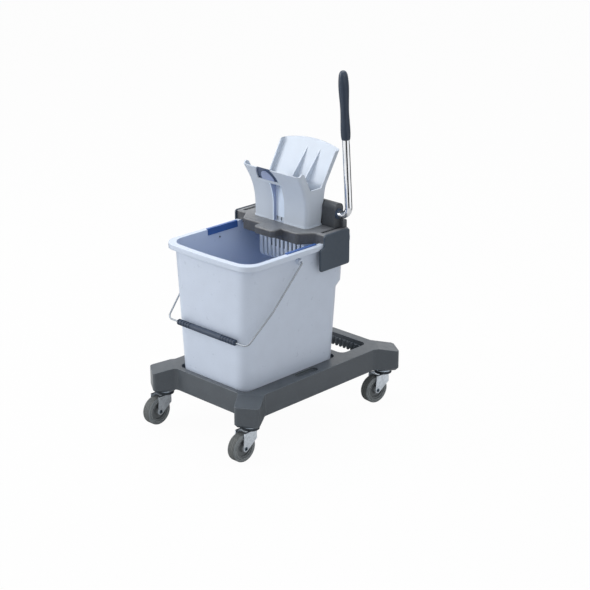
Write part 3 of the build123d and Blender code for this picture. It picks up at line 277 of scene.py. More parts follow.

# %% [markdown]
# ## Tools for the finishes
# Every finish starts from the same few steps: soft blotches of a known size, a colour that drifts between two
# tints, a roughness that drifts between two levels, a fine grain that is only bump, and edges that catch the light.
# The Bevel node looks round each point for other faces, so a sharp moulded edge is shaded as a small radius, and
# the angle between that shading and the true face is a mask for paler edges: rubbed edges, and on some finishes
# also a painted highlight along them. All of it reads Object coordinates, because a node's place is in its mesh and
# the pattern then has real sizes.

# %% Start a finish
MOST_PAINT = 255
CURVE_KNEE = 0.04045
CURVE_LINE = 12.92
CURVE_OFFSET = 0.055
CURVE_POWER = 2.4
finishes = {}


def paint(red, green, blue):
    """A colour as a picture writes it, 0 to 255, turned into the scene's light values."""
    shares = [value / MOST_PAINT for value in (red, green, blue)]
    return [s / CURVE_LINE if s <= CURVE_KNEE else ((s + CURVE_OFFSET) / (1 + CURVE_OFFSET)) ** CURVE_POWER
            for s in shares]


def shade(colour, amount):
    """A colour made darker or paler, never past white."""
    return [min(value * amount, 1) for value in colour]


def place_on_piece(tree):
    return tree.nodes.new("ShaderNodeTexCoord").outputs["Object"]


def start_finish(name):
    finishes[name] = bpy.data.materials.new(name)
    finishes[name].use_nodes = True
    tree = finishes[name].node_tree
    return tree, tree.nodes["Principled BSDF"], place_on_piece(tree)


print("white paint is light", paint(MOST_PAINT, MOST_PAINT, MOST_PAINT))

# %% Steps for colour and roughness
LEAST_BLOTCH = 0.3
MOST_BLOTCH = 0.7


def blotches(tree, where, size, detail=2.0, stretch=(1, 1, 1)):
    """Soft noise whose spots are about as wide as size, in metres."""
    mapping = tree.nodes.new("ShaderNodeMapping")
    mapping.inputs["Scale"].default_value = stretch
    tree.links.new(where, mapping.inputs["Vector"])
    noise = tree.nodes.new("ShaderNodeTexNoise")
    noise.inputs["Scale"].default_value = 1 / size
    noise.inputs["Detail"].default_value = detail
    tree.links.new(mapping.outputs["Vector"], noise.inputs["Vector"])
    return noise.outputs["Fac"]


def drift(tree, factor, low, high):
    """A number that drifts from low to high as the blotches rise."""
    return spread(tree, factor, LEAST_BLOTCH, MOST_BLOTCH, low, high)


def tints(tree, factor, low, high):
    """A colour that drifts from low to high as the blotches rise."""
    ramp = tree.nodes.new("ShaderNodeValToRGB")
    ramp.color_ramp.elements[0].position = LEAST_BLOTCH
    ramp.color_ramp.elements[0].color = (*low, 1)
    ramp.color_ramp.elements[1].position = MOST_BLOTCH
    ramp.color_ramp.elements[1].color = (*high, 1)
    tree.links.new(factor, ramp.inputs["Fac"])
    return ramp.outputs["Color"]


def lay_over(tree, factor, under, over):
    """One colour under another; the factor says where the upper one shows."""
    mix = tree.nodes.new("ShaderNodeMix")
    mix.data_type = "RGBA"
    sockets = {s.identifier: s for s in mix.inputs}
    tree.links.new(factor, sockets["Factor_Float"])
    tree.links.new(under, sockets["A_Color"])
    sockets["B_Color"].default_value = (*over, 1)
    return next(s for s in mix.outputs if s.identifier == "Result_Color")


def tint_where(shader, factor, tint):
    """Another colour over the one that a finished shader already has."""
    base = shader.inputs["Base Color"]
    tree = shader.id_data
    tree.links.new(lay_over(tree, factor, base.links[0].from_socket, tint), base)


print("blotches run from", LEAST_BLOTCH, "to", MOST_BLOTCH)

# %% Steps for edges and grain
EDGE_SAMPLES = 4
EDGE_FLAT = 0.985
EDGE_SHARP = 0.8


def face_normal(tree):
    return tree.nodes.new("ShaderNodeNewGeometry").outputs["Normal"]


def agreement(tree, first, second):
    """The dot product of two directions, largest where they point the same way."""
    product = tree.nodes.new("ShaderNodeVectorMath")
    product.operation = "DOT_PRODUCT"
    tree.links.new(first, product.inputs[0])
    tree.links.new(second, product.inputs[1])
    return product.outputs["Value"]


def upright_part(tree, vector):
    parts = tree.nodes.new("ShaderNodeSeparateXYZ")
    tree.links.new(vector, parts.inputs["Vector"])
    return parts.outputs["Z"]


def rounded_edges(tree, radius):
    """Shading that rounds sharp edges."""
    rounded = tree.nodes.new("ShaderNodeBevel")
    rounded.samples = EDGE_SAMPLES
    rounded.inputs["Radius"].default_value = radius
    return rounded.outputs["Normal"]


def edge_mask(tree, rounded):
    """1 on edges, where the rounded shading leaves the true face, and 0 on flat faces."""
    return spread(tree, agreement(tree, rounded, face_normal(tree)), EDGE_FLAT, EDGE_SHARP)


def grain(tree, height, depth, normal):
    """Bump of the given depth in metres, laid on shading that is already there."""
    bump = tree.nodes.new("ShaderNodeBump")
    bump.inputs["Strength"].default_value = 1.0
    bump.inputs["Distance"].default_value = depth
    tree.links.new(height, bump.inputs["Height"])
    tree.links.new(normal, bump.inputs["Normal"])
    return bump.outputs["Normal"]


print("edges are masked from", EDGE_FLAT, "to", EDGE_SHARP)

# %% [markdown]
# ## Moulded plastic
# Chassis, bucket, press, funnel, grips, clips and hubs are moulded in one colour each. New plastic is never quite
# even: the colour clouds a little where it flowed, the tool leaves a fine grain, and edges are paler where they are
# rubbed. On the chassis the edges are made much paler still, which is a painted highlight. One function makes them
# all, and each finish says how much of each it has. Two of them also get painted shade: the press slab is painted
# darker on its sides than on its top, and the bucket bluer inside than outside, where less light falls.

# %% Steps for painted shade on the slab's sides and in the bucket
PRESS_SIDE_SHADE = 0.45
LEAST_UPWARD = 0.2
MOST_UPWARD = 0.8
INSIDE_SHADE_TINT = (193, 208, 234)
INSIDE_SOFT = 0.03
KEEP_LEVEL = (1, 1, 0)


def painted_side_shade(tree, value, sides):
    """Painted shade: a number that is cut down to a share of itself on faces that don't look up."""
    upward = spread(tree, upright_part(tree, face_normal(tree)), LEAST_UPWARD, MOST_UPWARD, to_low=sides)
    return calculate(tree, "MULTIPLY", value, upward)


def tint_inside_shade(shader, tint):
    """Painted shade: another colour on the walls that look towards the upright axis, for the inside of a tub."""
    tree = shader.id_data
    from_axis = tree.nodes.new("ShaderNodeVectorMath")
    from_axis.operation = "MULTIPLY"
    from_axis.inputs[1].default_value = KEEP_LEVEL
    tree.links.new(place_on_piece(tree), from_axis.inputs[0])
    outwards = agreement(tree, from_axis.outputs["Vector"], face_normal(tree))
    tint_where(shader, spread(tree, outwards, 0.0, -INSIDE_SOFT), tint)


print("the slab's sides keep", PRESS_SIDE_SHADE, "of its colour")

# %% Steps for any moulded plastic
CLOUD_SIZE = 0.045
FLECK_SIZE = 0.004
FLECK_DETAIL = 4.0
PATCH_SIZE = CLOUD_SIZE / 3
PATCH_DETAIL = 3.0
PIT_DETAIL = 1.0
SMOOTHER_PATCH = 0.05
ROUGHER_PATCH = 0.07
EDGE_PALER = 1.3


def moulded(name, colour, rough, cloud, fleck, grain_size, grain_depth, edge, paler=EDGE_PALER, sides=1.0):
    tree, shader, where = start_finish(name)
    flow = blotches(tree, where, CLOUD_SIZE)
    flecks = drift(tree, blotches(tree, where, FLECK_SIZE, FLECK_DETAIL), -fleck, fleck)
    tone = tree.nodes.new("ShaderNodeHueSaturation")
    tree.links.new(tints(tree, flow, shade(colour, 1 - cloud), shade(colour, 1 + cloud)), tone.inputs["Color"])
    tree.links.new(painted_side_shade(tree, calculate(tree, "ADD", flecks, 1.0), sides), tone.inputs["Value"])
    normal = rounded_edges(tree, edge)
    # Paler edges: rubbed edges, and where paler is large, as on the chassis, also a painted highlight.
    worn_and_lit_edges = lay_over(tree, edge_mask(tree, normal), tone.outputs["Color"], shade(colour, paler))
    tree.links.new(worn_and_lit_edges, shader.inputs["Base Color"])
    patches = blotches(tree, where, PATCH_SIZE, PATCH_DETAIL)
    patchy = drift(tree, patches, rough - SMOOTHER_PATCH, rough + ROUGHER_PATCH)
    tree.links.new(patchy, shader.inputs["Roughness"])
    pits = blotches(tree, where, grain_size, PIT_DETAIL)
    tree.links.new(grain(tree, pits, grain_depth, normal), shader.inputs["Normal"])
    return shader


print("clouds are", CLOUD_SIZE, "m wide, flecks", FLECK_SIZE)

# %% Mould the dark plastics
# Painted highlight and wear: the chassis edges are made far paler than rubbing alone would, for the light they
# catch.
CHASSIS_EDGE_WEAR_AND_HIGHLIGHT = 2.4

moulded("chassis_plastic", paint(75, 82, 89), rough=0.34, cloud=0.05, fleck=0.06,
        grain_size=0.0016, grain_depth=0.00006, edge=0.0025, paler=CHASSIS_EDGE_WEAR_AND_HIGHLIGHT)
# The press slab's sides are painted darker than its top: painted shade.
moulded("press_plastic", paint(115, 118, 123), rough=0.38, cloud=0.08, fleck=0.14,
        grain_size=0.0016, grain_depth=0.0001, edge=0.0025, sides=PRESS_SIDE_SHADE)
# A darker copy of the press plastic for the hood and the jaw: painted shade.
moulded("shaded_press_plastic", paint(73, 77, 82), rough=0.42, cloud=0.08, fleck=0.14,
        grain_size=0.0016, grain_depth=0.00009, edge=0.0025)
moulded("bracket_plastic", paint(53, 66, 80), rough=0.4, cloud=0.04, fleck=0.04,
        grain_size=0.0016, grain_depth=0.00005, edge=0.0025)
# The catch plate is a dark sheet behind the catch's opening; its dark colour is painted shade.
moulded("catch_plate_shade", paint(70, 86, 114), rough=0.4, cloud=0.04, fleck=0.04,
        grain_size=0.0016, grain_depth=0.00005, edge=0.001)
moulded("grip_plastic", paint(38, 54, 76), rough=0.58, cloud=0.05, fleck=0.05,
        grain_size=0.0012, grain_depth=0.00008, edge=0.0015)
moulded("lever_grip_plastic", paint(38, 53, 72), rough=0.36, cloud=0.05, fleck=0.05,
        grain_size=0.0012, grain_depth=0.00006, edge=0.0015)
moulded("hub_plastic", paint(112, 117, 120), rough=0.46, cloud=0.05, fleck=0.08,
        grain_size=0.0014, grain_depth=0.00005, edge=0.001)
# slot_shade is painted shade for the deep slots: near black, with no specular reflection.
slot_shader = moulded("slot_shade", paint(18, 20, 24), rough=0.7, cloud=0.05, fleck=0.05,
                      grain_size=0.0014, grain_depth=0.00005, edge=0.0004)
slot_shader.inputs["Specular IOR Level"].default_value = 0.0
print("dark plastics:", sorted(finishes))

# %% Mould the smooth plastics
PALE_WALL = dict(rough=0.36, cloud=0.02, fleck=0.01, grain_size=0.015, grain_depth=0.00008)

bucket_shader = moulded("bucket_plastic", paint(199, 210, 227), rough=0.32, cloud=0.02, fleck=0.01,
                        grain_size=0.02, grain_depth=0.0001, edge=0.002)
# The bucket's inside walls get a bluer tint, which is painted shade.
tint_inside_shade(bucket_shader, paint(*INSIDE_SHADE_TINT))
moulded("funnel_plastic", paint(194, 204, 217), edge=0.0015, **PALE_WALL)
# A paler tint for the channel's floor and the stem's front: painted light.
moulded("painted_light_plastic", paint(222, 236, 255), edge=0.0008, **PALE_WALL)
moulded("basket_plastic", paint(226, 235, 247), edge=0.001, **PALE_WALL)
# The catch's blue-grey is partly its own colour and partly painted shade, for the recess and channel it stands in.
moulded("catch_plastic", paint(150, 164, 197), rough=0.34, cloud=0.03, fleck=0.02,
        grain_size=0.01, grain_depth=0.00005, edge=0.0015)
moulded("clip_plastic", paint(54, 92, 158), rough=0.36, cloud=0.04, fleck=0.02,
        grain_size=0.01, grain_depth=0.00005, edge=0.001)
print("all plastics:", len(finishes))

# %% [markdown]
# ## Zinc, steel and chrome
# The stems, pins and screws are zinc plated, which shows a patchwork of dull crystals. So are the castor forks, but
# their crystals hardly differ, and their crown is darkened as painted shade, for the shade that falls under the
# pods. A Voronoi texture gives every crystal a tint and a roughness of its own. The bail is plain drawn wire and
# the axles are dark oiled steel, which soft blotches show well enough. The lever is chromed tube, almost a mirror,
# with faint wiping marks along it, which are the same blotches stretched.

# %% Plate the zinc
SPANGLE_SIZE = 0.005
RIPPLE_SIZE = SPANGLE_SIZE / 2
RIPPLE_DEPTH = 0.00003
ZINC_SMOOTH = 0.4
ZINC_ROUGH = 0.48
ZINC_EDGE = 0.0008
CROWN_SHADE_FROM = 0.0788
CROWN_SHADE_SOFT = 0.001


def plate(shader, colour, rough, relief, depth, edge):
    """The last steps of every metal: its colour, its roughness, and a fine relief on softened edges."""
    tree = shader.id_data
    tree.links.new(colour, shader.inputs["Base Color"])
    tree.links.new(rough, shader.inputs["Roughness"])
    tree.links.new(grain(tree, relief, depth, rounded_edges(tree, edge)), shader.inputs["Normal"])
    shader.inputs["Metallic"].default_value = 1.0


def zinc(name, dull, bright):
    tree, shader, where = start_finish(name)
    cells = tree.nodes.new("ShaderNodeTexVoronoi")
    cells.inputs["Scale"].default_value = 1 / SPANGLE_SIZE
    tree.links.new(where, cells.inputs["Vector"])
    crystal = tree.nodes.new("ShaderNodeSeparateColor")
    tree.links.new(cells.outputs["Color"], crystal.inputs["Color"])
    colour = tints(tree, crystal.outputs["Red"], dull, bright)
    rough = drift(tree, crystal.outputs["Green"], ZINC_SMOOTH, ZINC_ROUGH)
    plate(shader, colour, rough, blotches(tree, where, RIPPLE_SIZE), RIPPLE_DEPTH, ZINC_EDGE)
    return shader


def paint_crown_shade(shader, height, tint):
    """Painted shade that starts at a height and is full a little higher, for the shade under the pods."""
    tree = shader.id_data
    crown_shade_and_chrome_film = spread(tree, upright_part(tree, place_on_piece(tree)), height, height + CROWN_SHADE_SOFT)
    tint_where(shader, crown_shade_and_chrome_film, tint)


zinc("zinc_steel", paint(186, 200, 215), paint(228, 241, 254))
fork_shader = zinc("fork_steel", paint(214, 222, 230), paint(230, 238, 246))
# The fork's crown gets painted shade, for the shadow under the pods.
paint_crown_shade(fork_shader, CROWN_SHADE_FROM, paint(74, 80, 86))
print("zinc crystals are", SPANGLE_SIZE, "m wide, crown shade starts at", CROWN_SHADE_FROM)

# %% Draw the wire, oil the axles, polish the chrome
FINE_RELIEF = 0.00001
STEEL_DETAIL = 3.0
WIPE_SIZE = 0.05
WIPE_DETAIL = 4.0
WIPE_STRETCH = (40, 40, 2)
FILM_SIZE = 0.03
CHROME_SMOOTH = 0.04
CHROME_WIPED = 0.08
CHROME_EDGE = 0.0006


def plain_steel(name, patch_size, dark, light, smooth, rough, edge):
    tree, shader, where = start_finish(name)
    patches = blotches(tree, where, patch_size, STEEL_DETAIL)
    colour = tints(tree, patches, dark, light)
    plate(shader, colour, drift(tree, patches, smooth, rough), patches, FINE_RELIEF, edge)


plain_steel("drawn_wire", patch_size=0.03, dark=paint(130, 136, 143), light=paint(152, 158, 165),
            smooth=0.42, rough=0.52, edge=0.0004)
plain_steel("dark_steel", patch_size=0.002, dark=paint(70, 84, 96), light=paint(96, 108, 118),
            smooth=0.4, rough=0.55, edge=0.0005)

tree, shader, where = start_finish("chrome_tube")
wiped = blotches(tree, where, WIPE_SIZE, WIPE_DETAIL, WIPE_STRETCH)
crown_shade_and_chrome_film = tints(tree, blotches(tree, where, FILM_SIZE), paint(230, 233, 238), paint(246, 247, 249))
plate(shader, crown_shade_and_chrome_film, drift(tree, wiped, CHROME_SMOOTH, CHROME_WIPED), wiped, FINE_RELIEF, CHROME_EDGE)
print("finishes with the metals:", len(finishes))

# %% [markdown]
# ## Rubber
# The tyres are grey rubber that doesn't mark floors: matt, a little dusty, grained like fine leather and paler on
# the edges that are rubbed. The tread, the side walls and the bottom of the grooves differ in tint alone, so one
# function mixes all three. The side walls' paler tint and the pale lip at their edge are painted light, and the
# dark bottom of the grooves is painted shade.

# %% Mix the rubber
DUST_SIZE = 0.012
DUST_DETAIL = 5.0
CLEAN_RUBBER = 0.62
DUSTY_RUBBER = 0.8
PORE_SIZE = 0.0009
PORE_DEPTH = 0.00012


def rubber(name, clean, dusty, rubbed_and_lit_edge, edge):
    tree, shader, where = start_finish(name)
    dust = blotches(tree, where, DUST_SIZE, DUST_DETAIL)
    normal = rounded_edges(tree, edge)
    colour = lay_over(tree, edge_mask(tree, normal), tints(tree, dust, clean, dusty), rubbed_and_lit_edge)
    tree.links.new(colour, shader.inputs["Base Color"])
    tree.links.new(drift(tree, dust, CLEAN_RUBBER, DUSTY_RUBBER), shader.inputs["Roughness"])
    pores = blotches(tree, where, PORE_SIZE)
    tree.links.new(grain(tree, pores, PORE_DEPTH, normal), shader.inputs["Normal"])


# Painted light on the side walls and their lip, painted shade in the groove bottoms.
rubber("grey_rubber", paint(86, 91, 93), paint(107, 110, 110), paint(138, 142, 142), edge=0.0006)
rubber("side_wall_rubber", paint(106, 112, 116), paint(130, 136, 139), paint(196, 201, 203), edge=0.0012)
rubber("groove_rubber", paint(34, 36, 36), paint(52, 54, 53), paint(60, 62, 62), edge=0.0004)
print("finishes with the rubber:", len(finishes))

# %% [markdown]
# ## Finish on every solid
# The imported model says for each solid which slot of material it belongs to, and most finishes are named for their
# slot. A few solids look different from others in the same slot, such as the hood from the slab, so they name a
# finish of their own. The hood's and the jaw's finish is a darker copy of the press plastic, which is painted
# shade.

# %% Finish the solids
slots = {part["node"]: part["material_slot"] for part in frame["record"]["subparts"]}
own_finish = {
    "bail_wire": "drawn_wire",
    "shaft_housing": "shaded_press_plastic",
    "press_jaw": "shaded_press_plastic",
    "lever_grip": "lever_grip_plastic",
    "drain_basket": "basket_plastic",
    # catch_plate is a dark sheet whose finish paints the shade behind the catch's opening.
    "catch_plate": "catch_plate_shade",
}
own_finish.update({node: "dark_steel" for node in nodes if node.endswith("_axle")})
own_finish.update({node: "fork_steel" for node in nodes if node.endswith("_fork")})
for name, node in nodes.items():
    node.material_slots[0].material = finishes[own_finish.get(name, slots[name])]
print("nodes finished:", len(nodes), "with a finish of their own:", len(own_finish))

# %% [markdown]
# ## Tools for the pieces
# In Blender's window, points, edges and faces are picked by a click, and an operator then acts on what is
# picked. Here they are picked by a test of where they are, which still finds them when a size changes. The
# other short steps are those that end almost every piece.

# %% Steps that pieces share
NEAR = 0.0002
SMOOTH_ANGLE = radians(35)


def pick_vertices(piece, test):
    mesh = bmesh.from_edit_mesh(piece.data)
    for vertex in mesh.verts:
        vertex.select_set(test(vertex.co))
    mesh.select_flush_mode()
    bmesh.update_edit_mesh(piece.data)


def pick_edges(piece, test):
    """Select edges by the places of their two ends."""
    mesh = bmesh.from_edit_mesh(piece.data)
    for edge in mesh.edges:
        edge.select_set(test(edge.verts[0].co, edge.verts[1].co))
    bmesh.update_edit_mesh(piece.data)


def pick_faces(piece, test):
    """Select faces by the place of their middle."""
    mesh = bmesh.from_edit_mesh(piece.data)
    for face in mesh.faces:
        face.select_set(test(face.calc_center_median()))
    bmesh.update_edit_mesh(piece.data)


def extrude(x=0, y=0, z=0):
    bpy.ops.mesh.extrude_region_move(TRANSFORM_OT_translate={"value": (x, y, z)})


def face_outwards():
    bpy.ops.mesh.select_all(action="SELECT")
    bpy.ops.mesh.normals_make_consistent(inside=False)


print("points within", NEAR, "m count as the same place")

# %% [markdown]
# ## Tyres
# A castor tyre is a rubber ring with round shoulders, fine grooves round the tread and a shallow channel behind a
# lip in each side wall. It could be turned from a drawn curve, but a ring keeps its faces even when its section is
# a plane that is rounded by a bevel and spun round the axle. Grooves are then bands of faces pushed in. The side
# walls get a paler finish, which paints the light that falls on them, and the groove bottoms a dark one, which
# paints the shade in them.

# %% Spin the tyre's section
tyre_low, tyre_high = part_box("front_left_tyre")
hub_low, hub_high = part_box("front_left_hub")
TYRE_WIDTH = tyre_high.x - tyre_low.x
TYRE_REACH = (tyre_high.z - tyre_low.z) / 2
TYRE_BORE = (hub_high.z - hub_low.z) / 2
SHOULDER = 0.004
SHOULDER_STEPS = 6
SPIN_STEPS = 96
SEAM = NEAR / 10


def reach(point):
    """Distance from the X axis."""
    return (point.y ** 2 + point.z ** 2) ** 0.5


bpy.ops.object.select_all(action="DESELECT")
bpy.ops.mesh.primitive_plane_add(size=1, location=(0, 0, (TYRE_BORE + TYRE_REACH) / 2), rotation=(pi / 2, 0, 0))
ring = bpy.context.object
ring.scale = (TYRE_WIDTH, TYRE_REACH - TYRE_BORE, 1)
settle()
bpy.ops.object.mode_set(mode="EDIT")
bpy.ops.mesh.select_mode(type="VERT")
pick_vertices(ring, lambda point: point.z > TYRE_REACH - NEAR)
bpy.ops.mesh.bevel(affect="VERTICES", offset=SHOULDER, segments=SHOULDER_STEPS)
bpy.ops.mesh.select_all(action="SELECT")
bpy.ops.mesh.delete(type="ONLY_FACE")
bpy.ops.mesh.select_all(action="SELECT")
bpy.ops.mesh.spin(steps=SPIN_STEPS, angle=2 * pi, center=(0, 0, 0), axis=(1, 0, 0))
bpy.ops.mesh.select_all(action="SELECT")
bpy.ops.mesh.remove_doubles(threshold=SEAM)
bpy.ops.mesh.normals_make_consistent(inside=False)
bpy.ops.object.mode_set(mode="OBJECT")
print("tyre ring:", len(ring.data.polygons), "faces, reach", round(max(reach(v.co) for v in ring.data.vertices), 4))

# %% Press the grooves in
TREAD_GROOVES = (-0.0054, 0.0, 0.0054)
SHOULDER_GROOVES = (-0.0098, 0.0098)
GROOVES = TREAD_GROOVES + SHOULDER_GROOVES
GROOVE_WIDTH = 0.0014
GROOVE_DEPTH = 0.0013
TYRE_FINISHES = ("grey_rubber", "side_wall_rubber", "groove_rubber")
TREAD, SIDE_WALL, GROOVE = range(len(TYRE_FINISHES))


def in_groove(point):
    in_band = any(abs(point.x - middle) < GROOVE_WIDTH / 2 for middle in GROOVES)
    return in_band and reach(point) > TYRE_REACH - SHOULDER


def push_in(depth):
    bpy.ops.mesh.extrude_region_shrink_fatten(TRANSFORM_OT_shrink_fatten={"value": -depth})


bpy.ops.object.mode_set(mode="EDIT")
bpy.ops.mesh.select_mode(type="FACE")
for middle in GROOVES:
    for edge in (middle - GROOVE_WIDTH / 2, middle + GROOVE_WIDTH / 2):
        bpy.ops.mesh.select_all(action="SELECT")
        bpy.ops.mesh.bisect(plane_co=(edge, 0, 0), plane_no=(1, 0, 0))
pick_faces(ring, in_groove)
push_in(GROOVE_DEPTH)
bpy.ops.object.mode_set(mode="OBJECT")
for name in TYRE_FINISHES:
    ring.data.materials.append(finishes[name])
# Groove bottoms get painted shade, side walls painted light.
for face in ring.data.polygons:
    beside_tread = abs(face.center.x) > max(SHOULDER_GROOVES)
    face.material_index = GROOVE if face.select else SIDE_WALL if beside_tread else TREAD
print("tyre with grooves:", len(ring.data.polygons), "faces")

# %% Sink the side walls
LIP_WIDTH = 0.0018
WALL_DEPTH = 0.0016


def on_side_wall(point, side):
    return side * point.x > TYRE_WIDTH / 2 - NEAR and reach(point) < TYRE_REACH - SHOULDER


bpy.ops.object.mode_set(mode="EDIT")
for side in (-1, 1):
    pick_faces(ring, lambda point: on_side_wall(point, side))
    bpy.ops.mesh.inset(thickness=LIP_WIDTH)
    push_in(WALL_DEPTH)
bpy.ops.object.mode_set(mode="OBJECT")
bpy.ops.object.shade_smooth_by_angle(angle=SMOOTH_ANGLE)
print("tyre with side walls:", len(ring.data.polygons), "faces")

# %% Fit a tyre to each castor
CORNERS = ("front_left", "front_right", "rear_left", "rear_right")
joints = {joint["name"]: joint for joint in frame["joints"]}

for corner in CORNERS:
    spin = joints[corner + "_spin"]
    tyre = ring.copy()
    tyre.data = ring.data.copy()
    tyre.name = corner + "_grooved_tyre"
    bpy.context.collection.objects.link(tyre)
    tyre.rotation_euler.z = atan2(spin["axis"][1], spin["axis"][0])
    tyre.location = spin["pos_m"]
    bpy.ops.object.select_all(action="DESELECT")
    tyre.select_set(True)
    bpy.context.view_layer.objects.active = tyre
    settle()
    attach(tyre, corner + "_wheel")
    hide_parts(corner + "_tyre")
bpy.data.objects.remove(ring)
print("tyres fitted:", len(CORNERS))

# %% [markdown]
# ## Finger ribs
# A hand lifts the chassis by its rear rail. Upright ribs on the rail's inner wall keep the fingers from
# slipping, and their round ends hang a little below the wall like a row of teeth. One rib is a circle extruded
# to a post with its rim bevelled round; the Array modifier then repeats it along the rail at the same pitch.

# %% Line up the finger ribs
RIB_WALL_Y = 0.2378
RIB_TOP = 0.1468
RIB_BOTTOM = 0.1224
RIB_REACH = 0.0046
RIB_PITCH = 0.014
RIB_ROUND = 0.0036
RIB_ROUND_STEPS = 4
RIB_SIDES = 20
RIBS_EACH_SIDE = 7
RIB_COUNT = 2 * RIBS_EACH_SIDE + 1

bpy.ops.object.select_all(action="DESELECT")
bpy.ops.mesh.primitive_circle_add(vertices=RIB_SIDES, radius=RIB_REACH, fill_type="NGON")
ribs = bpy.context.object
ribs.name = "rear_rail_ribs"
bpy.ops.object.mode_set(mode="EDIT")
bpy.ops.mesh.select_all(action="SELECT")
extrude(z=RIB_TOP - RIB_BOTTOM)
bpy.ops.mesh.select_mode(type="EDGE")
pick_edges(ribs, lambda start, end: abs(start.z - end.z) < NEAR)
bpy.ops.mesh.bevel(offset=RIB_ROUND, segments=RIB_ROUND_STEPS)
face_outwards()
bpy.ops.object.mode_set(mode="OBJECT")
row = ribs.modifiers.new("row", "ARRAY")
row.count = RIB_COUNT
row.use_relative_offset = False
row.use_constant_offset = True
row.constant_offset_displace = (RIB_PITCH, 0, 0)
bpy.ops.object.modifier_apply(modifier="row")
ribs.location = (-RIBS_EACH_SIDE * RIB_PITCH, RIB_WALL_Y, RIB_BOTTOM)
settle()
bpy.ops.object.shade_smooth_by_angle(angle=SMOOTH_ANGLE)
ribs.data.materials.append(finishes["chassis_plastic"])
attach(ribs, "chassis")
print("ribs:", RIB_COUNT, "faces:", len(ribs.data.polygons))

# %% [markdown]
# ## Slots of the press
# The slab has a long slot near each end, and from above each looks like a dark stripe with round ends, wider than
# the solid's slot, because the slot is deep and in shade. That shade is painted: a dark sheet is a plane stretched
# along the slot, its corner points bevelled round, and extruded to a thin closed tray. Its top face is inset and
# pushed down a little, which leaves a fine rim.

# %% Lay painted shade in the slots
SLOT_TOP = 0.5253
SLOT_MIDDLE_Y = 0.0728
SLOT_INSET = 0.018
SLOT_LENGTH = 0.070
SLOT_WIDTH = 0.0105
SLOT_ROUND = SLOT_WIDTH * 0.45
SLOT_ROUND_STEPS = 4
SLOT_RIM = 0.0006
SLOT_DEPTH = 0.0008
SHADOW_SHEET_DEPTH = 0.002

slab_low, slab_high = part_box("press_frame")
for side, at_x in (("left", slab_low.x + SLOT_INSET), ("right", slab_high.x - SLOT_INSET)):
    bpy.ops.object.select_all(action="DESELECT")
    bpy.ops.mesh.primitive_plane_add(size=1)
    slot_shadow = bpy.context.object
    slot_shadow.name = side + "_slot_shadow_sheet"
    bpy.ops.object.mode_set(mode="EDIT")
    bpy.ops.mesh.select_all(action="SELECT")
    bpy.ops.transform.resize(value=(SLOT_WIDTH, SLOT_LENGTH, 1))
    bpy.ops.mesh.bevel(offset=SLOT_ROUND, segments=SLOT_ROUND_STEPS, affect="VERTICES")
    bpy.ops.mesh.select_all(action="SELECT")
    extrude(z=-SHADOW_SHEET_DEPTH)
    face_outwards()
    bpy.ops.mesh.select_mode(type="FACE")
    pick_faces(slot_shadow, lambda point: point.z > -NEAR)
    bpy.ops.mesh.inset(thickness=SLOT_RIM)
    extrude(z=-SLOT_DEPTH)
    bpy.ops.object.mode_set(mode="OBJECT")
    slot_shadow.location = (at_x, SLOT_MIDDLE_Y, SLOT_TOP)
    settle()
    # A near-black finish: painted shade in the slot.
    slot_shadow.data.materials.append(finishes["slot_shade"])
    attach(slot_shadow, "press")
    print(slot_shadow.name, len(slot_shadow.data.polygons), "faces at x", round(at_x, 4))

# %% [markdown]
# ## Floor of the funnel's channel
# A channel runs down the funnel's front, and its floor looks paler than the walls beside it, because more light
# falls on it. That light is painted: a plane stretched over the floor, with its corner points bevelled round and
# extruded to a thin skin, carries a paler tint and leaves the drain slots below it open.

# %% Lay the channel's floor
CHANNEL_LEFT = -0.0222
CHANNEL_RIGHT = 0.0162
CHANNEL_LOW = 0.5362
CHANNEL_HIGH = 0.6274
CHANNEL_FACE_Y = 0.0382
CHANNEL_SKIN = 0.0008
CHANNEL_ROUND = 0.002
CHANNEL_ROUND_STEPS = 3

bpy.ops.object.select_all(action="DESELECT")
bpy.ops.mesh.primitive_plane_add(size=1, rotation=(pi / 2, 0, 0))
skin = bpy.context.object
skin.name = "channel_floor"
skin.scale = (CHANNEL_RIGHT - CHANNEL_LEFT, CHANNEL_HIGH - CHANNEL_LOW, 1)
skin.location = ((CHANNEL_LEFT + CHANNEL_RIGHT) / 2, CHANNEL_FACE_Y, (CHANNEL_LOW + CHANNEL_HIGH) / 2)
settle()
bpy.ops.object.mode_set(mode="EDIT")
bpy.ops.mesh.select_all(action="SELECT")
bpy.ops.mesh.bevel(offset=CHANNEL_ROUND, segments=CHANNEL_ROUND_STEPS, affect="VERTICES")
bpy.ops.mesh.select_all(action="SELECT")
extrude(y=CHANNEL_SKIN)
face_outwards()
bpy.ops.object.mode_set(mode="OBJECT")
# The pale skin is painted light on the channel's floor.
skin.data.materials.append(finishes["painted_light_plastic"])
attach(skin, "press")
print("channel floor:", len(skin.data.polygons), "faces")

# %% [markdown]
# ## Stem of the catch
# The tongue at the funnel's rim is the head of a blue-grey lever, and its stem lines the channel's left side. Its
# blue-grey sides are partly the lever's own colour and partly painted shade, for the shade on the channel's left
# wall. The wall beside it flares out, so the stem gets deeper towards the top. A grid stood on edge has enough rows
# to follow that curve: its front column of points is moved by the wall's own formula, and the sheet is then
# extruded sideways and its long front edges bevelled. The front gets the channel floor's pale finish as a painted
# highlight, and shows as a fine bright line.

# %% Bend the stem along the wall
STEM_LEFT = -0.0262
STEM_RIGHT = -0.0219
STEM_LOW = 0.5253
STEM_HIGH = 0.6276
STEM_FACE_Y = 0.0298
STEM_BACK_Y = 0.0387
STEM_ROWS = 16
FLARE_FROM = 0.566
FLARE_TO = 0.650
FLARE_SLOPE = 0.58


